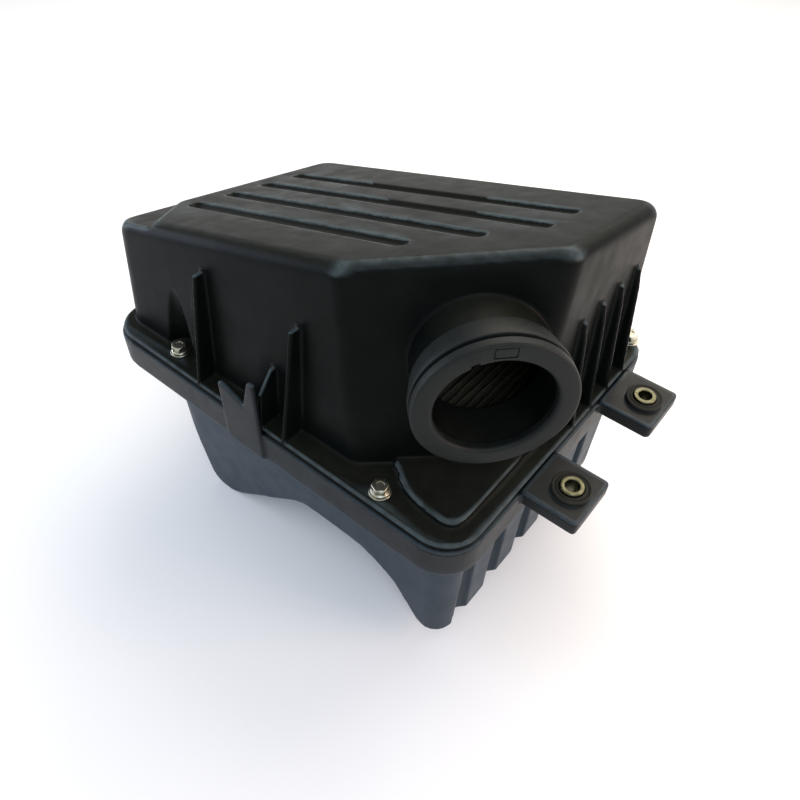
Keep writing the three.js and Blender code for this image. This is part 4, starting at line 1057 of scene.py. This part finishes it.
# %% Opening, colouring and closing a material
def open_material(name, sizes):
    """Starts a material, with a noise for each pattern: (millimetres, detail, roughness)."""
    material = bpy.data.materials.new(name)
    material.use_nodes = True
    tree = material.node_tree
    tree.nodes.clear()
    place = add(tree, "TexCoord", output="Object")
    patterns = {key: add(tree, "TexNoise", {"Vector": place, "Scale": per_mm(size), "Detail": detail,
                                            "Roughness": patchy})
                for key, (size, detail, patchy) in sizes.items()}
    return material, tree, place, patterns


def close_material(material, inputs):
    tree = material.node_tree
    add(tree, "OutputMaterial", {"Surface": add(tree, "BsdfPrincipled", inputs)})
    print(f"{material.name}: {len(tree.nodes)} nodes")
    return material


def layered(tree, colour, *layers):
    """Lays colours over a first one, each with its share."""
    for share, over in layers:
        colour = add(tree, "Mix", {MIX_SHARE: share, MIX_UNDER: colour, MIX_OVER: over}, MIX_COLOUR,
                     data_type="RGBA")
    return colour


def pressed(tree, *reliefs):
    """Presses patterns into the surface, one over another: (height, depth in millimetres, strength)."""
    surface = None
    for height, depth, strength in reliefs:
        inputs = {"Height": height, "Distance": depth * MM, "Strength": strength}
        if surface is not None:
            inputs["Normal"] = surface
        surface = add(tree, "Bump", inputs)
    return surface


# %% [markdown]
# The cover and the case are injection-moulded polypropylene with carbon black in it. The mould is spark
# eroded, which leaves a fine even grain, so highlights are broad and soft. Slow flow of the melt leaves
# cloudy patches, and flat upper faces hold a film of dust. Edges that face up get a painted highlight: a
# lighter blue grey where they would catch the light, with their roughness lowered a little as hands and hoses
# polish them; the edge map made with the mesh says where. Below the rim the case is painted a lighter blue
# grey, a painted reflection of the pale floor, with an uneven upper line. The grain of a real mould is about
# 0.3 mm; it is drawn at 0.9 mm, because anything finer vanishes at this distance.

# %% Moulded polypropylene
MOULDED_PATTERNS = {"cloud": (34.0, 4, PATCHY), "dust": (9.0, 8, 0.7), "edge_sheen": (7.0, 4, PATCHY),
                    "gloss": (12.0, 5, PATCHY), "grain": (0.9, 2, PATCHY), "sink": (22.0, 3, PATCHY),
                    "reflection_line": (18.0, 4, PATCHY)}
SCRATCH_MM = 1.6
# Where the case's painted floor reflection starts under the parting plane, and how its upper line wanders and
# blurs.
REFLECTION_BELOW, REFLECTION_LINE_RISE, REFLECTION_LINE_BLUR = PARTING_HEIGHT - 15 * MM, 12 * MM, 6 * MM


def polypropylene(name, body, cloud, dust, edge_highlight, dust_amount, gloss, roughness, floor_reflection=None):
    material, tree, place, pattern = open_material(name, MOULDED_PATTERNS)
    edge_bulge = add(tree, "Attribute", output="Fac", attribute_name="edge_bulge")
    facing_up = add(tree, "SeparateXYZ", [add(tree, "NewGeometry", output="Normal")], "Z")
    layers = [(add(tree, "MapRange", [pattern["cloud"], 0.35, 0.7]), cloud)]

    # Painted reflection: below the rim the case is painted a lighter blue grey for the pale floor's light,
    # with an uneven upper line.
    if floor_reflection is not None:
        height = add(tree, "SeparateXYZ", [place], "Z")
        reflection_line = add(tree, "Math", [pattern["reflection_line"], REFLECTION_LINE_RISE, height], operation="MULTIPLY_ADD")
        layers.append((add(tree, "MapRange", [reflection_line, REFLECTION_BELOW - REFLECTION_LINE_BLUR, REFLECTION_BELOW + REFLECTION_LINE_BLUR,
                                              1.0, 0.0]), floor_reflection))

    speckle = add(tree, "MapRange", [pattern["dust"], 0.3, 0.75, 0.45 * dust_amount, dust_amount])
    level = add(tree, "MapRange", [facing_up, 0.55, 0.98])
    layers.append((add(tree, "Math", [level, speckle], operation="MULTIPLY"), dust))

    # Painted highlight: proud edges that face up are painted a lighter blue grey in patches, standing in for
    # the light they catch, and made a little less rough.
    edge_highlight_share = add(tree, "MapRange", [edge_bulge, 0.56, 0.66, 0.0, 0.62])
    for limit in ([facing_up, 0.3, 0.5], [pattern["edge_sheen"], 0.3, 0.65, 0.5, 1.0]):
        edge_highlight_share = add(tree, "Math", [edge_highlight_share, add(tree, "MapRange", limit)], operation="MULTIPLY")
    layers.append((edge_highlight_share, edge_highlight))

    drawn_out = add(tree, "Mapping", {"Vector": place, "Scale": (1.0, 0.06, 0.3),
                                      "Rotation": (0.3, 0.2, 0.5)})
    lines = add(tree, "TexNoise", {"Vector": drawn_out, "Scale": per_mm(SCRATCH_MM), "Detail": 2,
                                   "Roughness": PATCHY})
    scratches = add(tree, "MapRange", [lines, 0.62, 0.72])
    rough = add(tree, "MapRange", [pattern["gloss"], 0.3, 0.7, roughness - 0.05, roughness + 0.07])
    return close_material(material, {
        "IOR": 1.49, "Specular IOR Level": gloss, "Base Color": layered(tree, body, *layers),
        "Roughness": add(tree, "Math", [edge_highlight_share, -0.12, rough], operation="MULTIPLY_ADD"),
        "Normal": pressed(tree, (pattern["grain"], 0.05, 0.35), (pattern["sink"], 0.25, 0.25),
                          (scratches, 0.02, 0.3))})


# The fourth colour of each plastic is its painted edge highlight.
cover_plastic = polypropylene("black_polypropylene", "#080b0a", "#0e1110", "#34342c", "#566265",
                              dust_amount=0.34, gloss=0.05, roughness=0.36)
# The case's last colour is a painted reflection of the floor on its lower walls.
case_plastic = polypropylene("dark_grey_polypropylene", "#0e1214", "#14191b", "#2b2b26", "#414d54",
                             dust_amount=0.5, gloss=0.18, roughness=0.42, floor_reflection="#25313b")

# %% [markdown]
# The collar and the bushes are EPDM rubber, pressed in a hot mould. Rubber is matte and a little
# chalky where it has aged, and shows fine pits rather than grain.

# %% EPDM rubber
def moulded_rubber(name, body, aged, roughness):
    material, tree, _, pattern = open_material(name, {"bloom": (7.0, 6, 0.65), "pits": (0.8, 2, PATCHY)})
    edge_bulge = add(tree, "Attribute", output="Fac", attribute_name="edge_bulge")
    bloom = add(tree, "MapRange", [pattern["bloom"], 0.35, 0.75, 0.0, 0.7])
    scuffs = add(tree, "MapRange", [edge_bulge, 0.6, 0.9, 0.0, 0.4])
    pits = add(tree, "MapRange", [pattern["pits"], 0.3, 0.5])
    return close_material(material, {
        "IOR": 1.52, "Specular IOR Level": 0.16,
        "Base Color": layered(tree, body, (bloom, aged), (scuffs, aged)),
        "Roughness": add(tree, "MapRange", [bloom, 0.0, 0.7, roughness, roughness + 0.12]),
        "Normal": pressed(tree, (pits, 0.06, 0.3))})


collar_rubber = moulded_rubber("epdm_collar", "#0e1110", "#1c2120", 0.46)
bush_rubber = moulded_rubber("epdm_bush", "#141412", "#2c2c25", 0.58)

# %% [markdown]
# Zinc plating over steel is bright and slightly yellow from its clear chromate. Handling dulls it in
# patches, and tiny white spots of corrosion start in the corners. The sleeves in the ears stand outboard of
# the flange, where nothing shelters them, so the metal turns olive brown there. Brass inserts are turned
# bars with the same patches in a warmer colour. A metal keeps the default IOR, and its colour comes
# from the base colour.

# %% Zinc-plated steel and turned brass
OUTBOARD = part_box("upper_cover")[1].x + 2 * MM
WEATHERED = "#47462f"


def bare_metal(name, bright, dull, spot, roughness):
    material, tree, place, pattern = open_material(
        name, {"dull": (3.0, 5, PATCHY), "spots": (1.1, 3, PATCHY), "ripple": (0.5, 3, PATCHY)})
    across = add(tree, "SeparateXYZ", [place], "X")
    patches = add(tree, "MapRange", [pattern["dull"], 0.35, 0.7])
    spots = add(tree, "MapRange", [pattern["spots"], 0.66, 0.72, 0.0, 0.6])
    exposed = add(tree, "MapRange", [across, OUTBOARD, OUTBOARD + 5 * MM, 0.0, 0.9])
    return close_material(material, {
        "Metallic": 1.0,
        "Base Color": layered(tree, bright, (patches, dull), (spots, spot), (exposed, WEATHERED)),
        "Roughness": add(tree, "MapRange", [patches, 0.0, 1.0, roughness, roughness + 0.16]),
        "Normal": pressed(tree, (pattern["ripple"], 0.02, 0.3))})


zinc_steel = bare_metal("zinc_plated_steel", "#c6c4b4", "#8b8977", "#d9d8cf", 0.26)
insert_brass = bare_metal("turned_brass", "#c9a14f", "#97763a", "#7d6a45", 0.3)

# %% [markdown]
# The filter's frame is cast polyurethane: a skin of closed cells, matte and softly dimpled. The paper is
# cellulose with a phenolic resin, pale yellow when new. It is painted a dark brown: partly the dust a used
# one has caught, partly a painted shade for the closed housing's dark inside, with long fibres that show as
# faint flecks.

# %% Polyurethane and filter paper
def cast_polyurethane():
    material, tree, place, pattern = open_material("cast_polyurethane", {"cloud": (14.0, 4, PATCHY)})
    cells = add(tree, "TexVoronoi", {"Vector": place, "Scale": per_mm(1.2)}, "Distance")
    clouds = add(tree, "MapRange", [pattern["cloud"], 0.3, 0.7])
    return close_material(material, {"IOR": 1.5, "Roughness": 0.68, "Specular IOR Level": 0.35,
                          "Base Color": layered(tree, "#2b3033", (clouds, "#3b4245")),
                          "Normal": pressed(tree, (cells, 0.15, 0.35))})


def filter_paper():
    material, tree, place, pattern = open_material("resin_treated_paper", {"dirt_and_shade": (25.0, 6, PATCHY)})
    drawn_out = add(tree, "Mapping", {"Vector": place, "Scale": (1.0, 0.15, 0.4)})
    fibres = add(tree, "TexNoise", {"Vector": drawn_out, "Scale": per_mm(0.7), "Detail": 4, "Roughness": 0.7})
    flecks = add(tree, "MapRange", [fibres, 0.35, 0.7])
    dirt_and_shade = add(tree, "MapRange", [pattern["dirt_and_shade"], 0.45, 0.8, 0.0, 0.5])
    # Painted shade: the base, fleck and soiled-patch colours are all kept dark for the unlit inside of the
    # housing, over the real soiling of a used filter.
    return close_material(material, {"IOR": 1.5, "Roughness": 0.85, "Specular IOR Level": 0.25,
                          "Base Color": layered(tree, "#5a523f", (flecks, "#4b4433"), (dirt_and_shade, "#2c271c")),
                          "Normal": pressed(tree, (fibres, 0.08, 0.4))})


# %% Giving each piece its finish
FINISHES = {
    "cover_plastic": cover_plastic, "case_plastic": case_plastic, "collar_rubber": collar_rubber,
    "bush_rubber": bush_rubber, "zinc_steel": zinc_steel, "insert_brass": insert_brass,
    "seal_foam": cast_polyurethane(), "filter_paper": filter_paper(),
}
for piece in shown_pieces():
    piece.data.materials.clear()
    piece.data.materials.append(FINISHES[piece["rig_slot"]])

# %% [markdown]
# ## The studio
# A product like this is shown on a pale sweep under large soft lights. One big panel hangs above and a little
# behind, so that the sloping top and the rolled edge of the chamfer catch it. A cool panel low on the left
# lights the belly, and a weak warm one on the right picks out the ribs. The floor is a wide plane.

# %% Floor, lights and world
def make_floor():
    floor = skin("floor", [(-4, -4, 0), (4, -4, 0), (4, 4, 0), (-4, 4, 0)], [(0, 1, 2, 3)])
    material, tree, _, pattern = open_material("pale_sweep", {"tint": (300.0, 2, PATCHY)})
    floor.data.materials.append(close_material(material, {
        "Roughness": 0.9, "Specular IOR Level": 0.1,
        "Base Color": layered(tree, "#f4f4f4", (pattern["tint"], "#efefef"))}))


def panel(name, at, aim, size, watts, tint):
    light = bpy.data.lights.new(name, "AREA")
    light.shape, light.size, light.size_y = "RECTANGLE", *size
    light.energy, light.color = watts, linear(tint)[:3]
    made = bpy.data.objects.new(name, light)
    made.location = at
    made.rotation_euler = (Vector(aim) - Vector(at)).to_track_quat("-Z", "Y").to_euler()
    bpy.context.scene.collection.objects.link(made)


make_floor()
object_middle = (cad_low + cad_high) / 2
panel("top_panel", (-0.10, 0.75, 0.95), object_middle, (1.2, 0.8), 11, "#fff3e2")
panel("left_panel", (-0.9, -0.5, 0.35), object_middle, (0.7, 0.5), 5, "#dce8ff")
panel("edge_panel", (0.55, -0.55, 0.9), object_middle, (0.4, 0.2), 3, "#c4daf2")
panel("right_panel", (0.9, 0.35, 0.45), object_middle, (0.5, 0.5), 5, "#ffdcc8")

world = bpy.data.worlds.new("studio")
world.use_nodes = True
world.node_tree.nodes["Background"].inputs["Color"].default_value = linear("#f6f8fb")
world.node_tree.nodes["Background"].inputs["Strength"].default_value = 0.75
bpy.context.scene.world = world
bpy.context.scene.view_settings.view_transform = "Standard"

# %% [markdown]
# The camera stands close, above the front right corner, and is rolled by a couple of degrees as a hand-held
# one is. A short lens at this distance gives the strong taper towards the far side.

# %% Camera
CAMERA_AT = Vector((0.1947, -0.25305, 0.4071))
CAMERA_AIM = Vector((-0.0211, 0.03075, 0.0301))
CAMERA_ROLL = math.radians(2.41)
LENS_MM, SENSOR_MM = 32.535, 36.0


def make_camera():
    lens = bpy.data.cameras.new("camera")
    lens.lens, lens.sensor_width, lens.clip_start = LENS_MM, SENSOR_MM, 0.01
    camera = bpy.data.objects.new("camera", lens)
    look = (CAMERA_AIM - CAMERA_AT).to_track_quat("-Z", "Y").to_matrix()
    turned_look = look @ Matrix.Rotation(CAMERA_ROLL, 3, "Z")
    camera.matrix_world = Matrix.Translation(CAMERA_AT) @ turned_look.to_4x4()
    bpy.context.scene.collection.objects.link(camera)
    bpy.context.scene.camera = camera


make_camera()
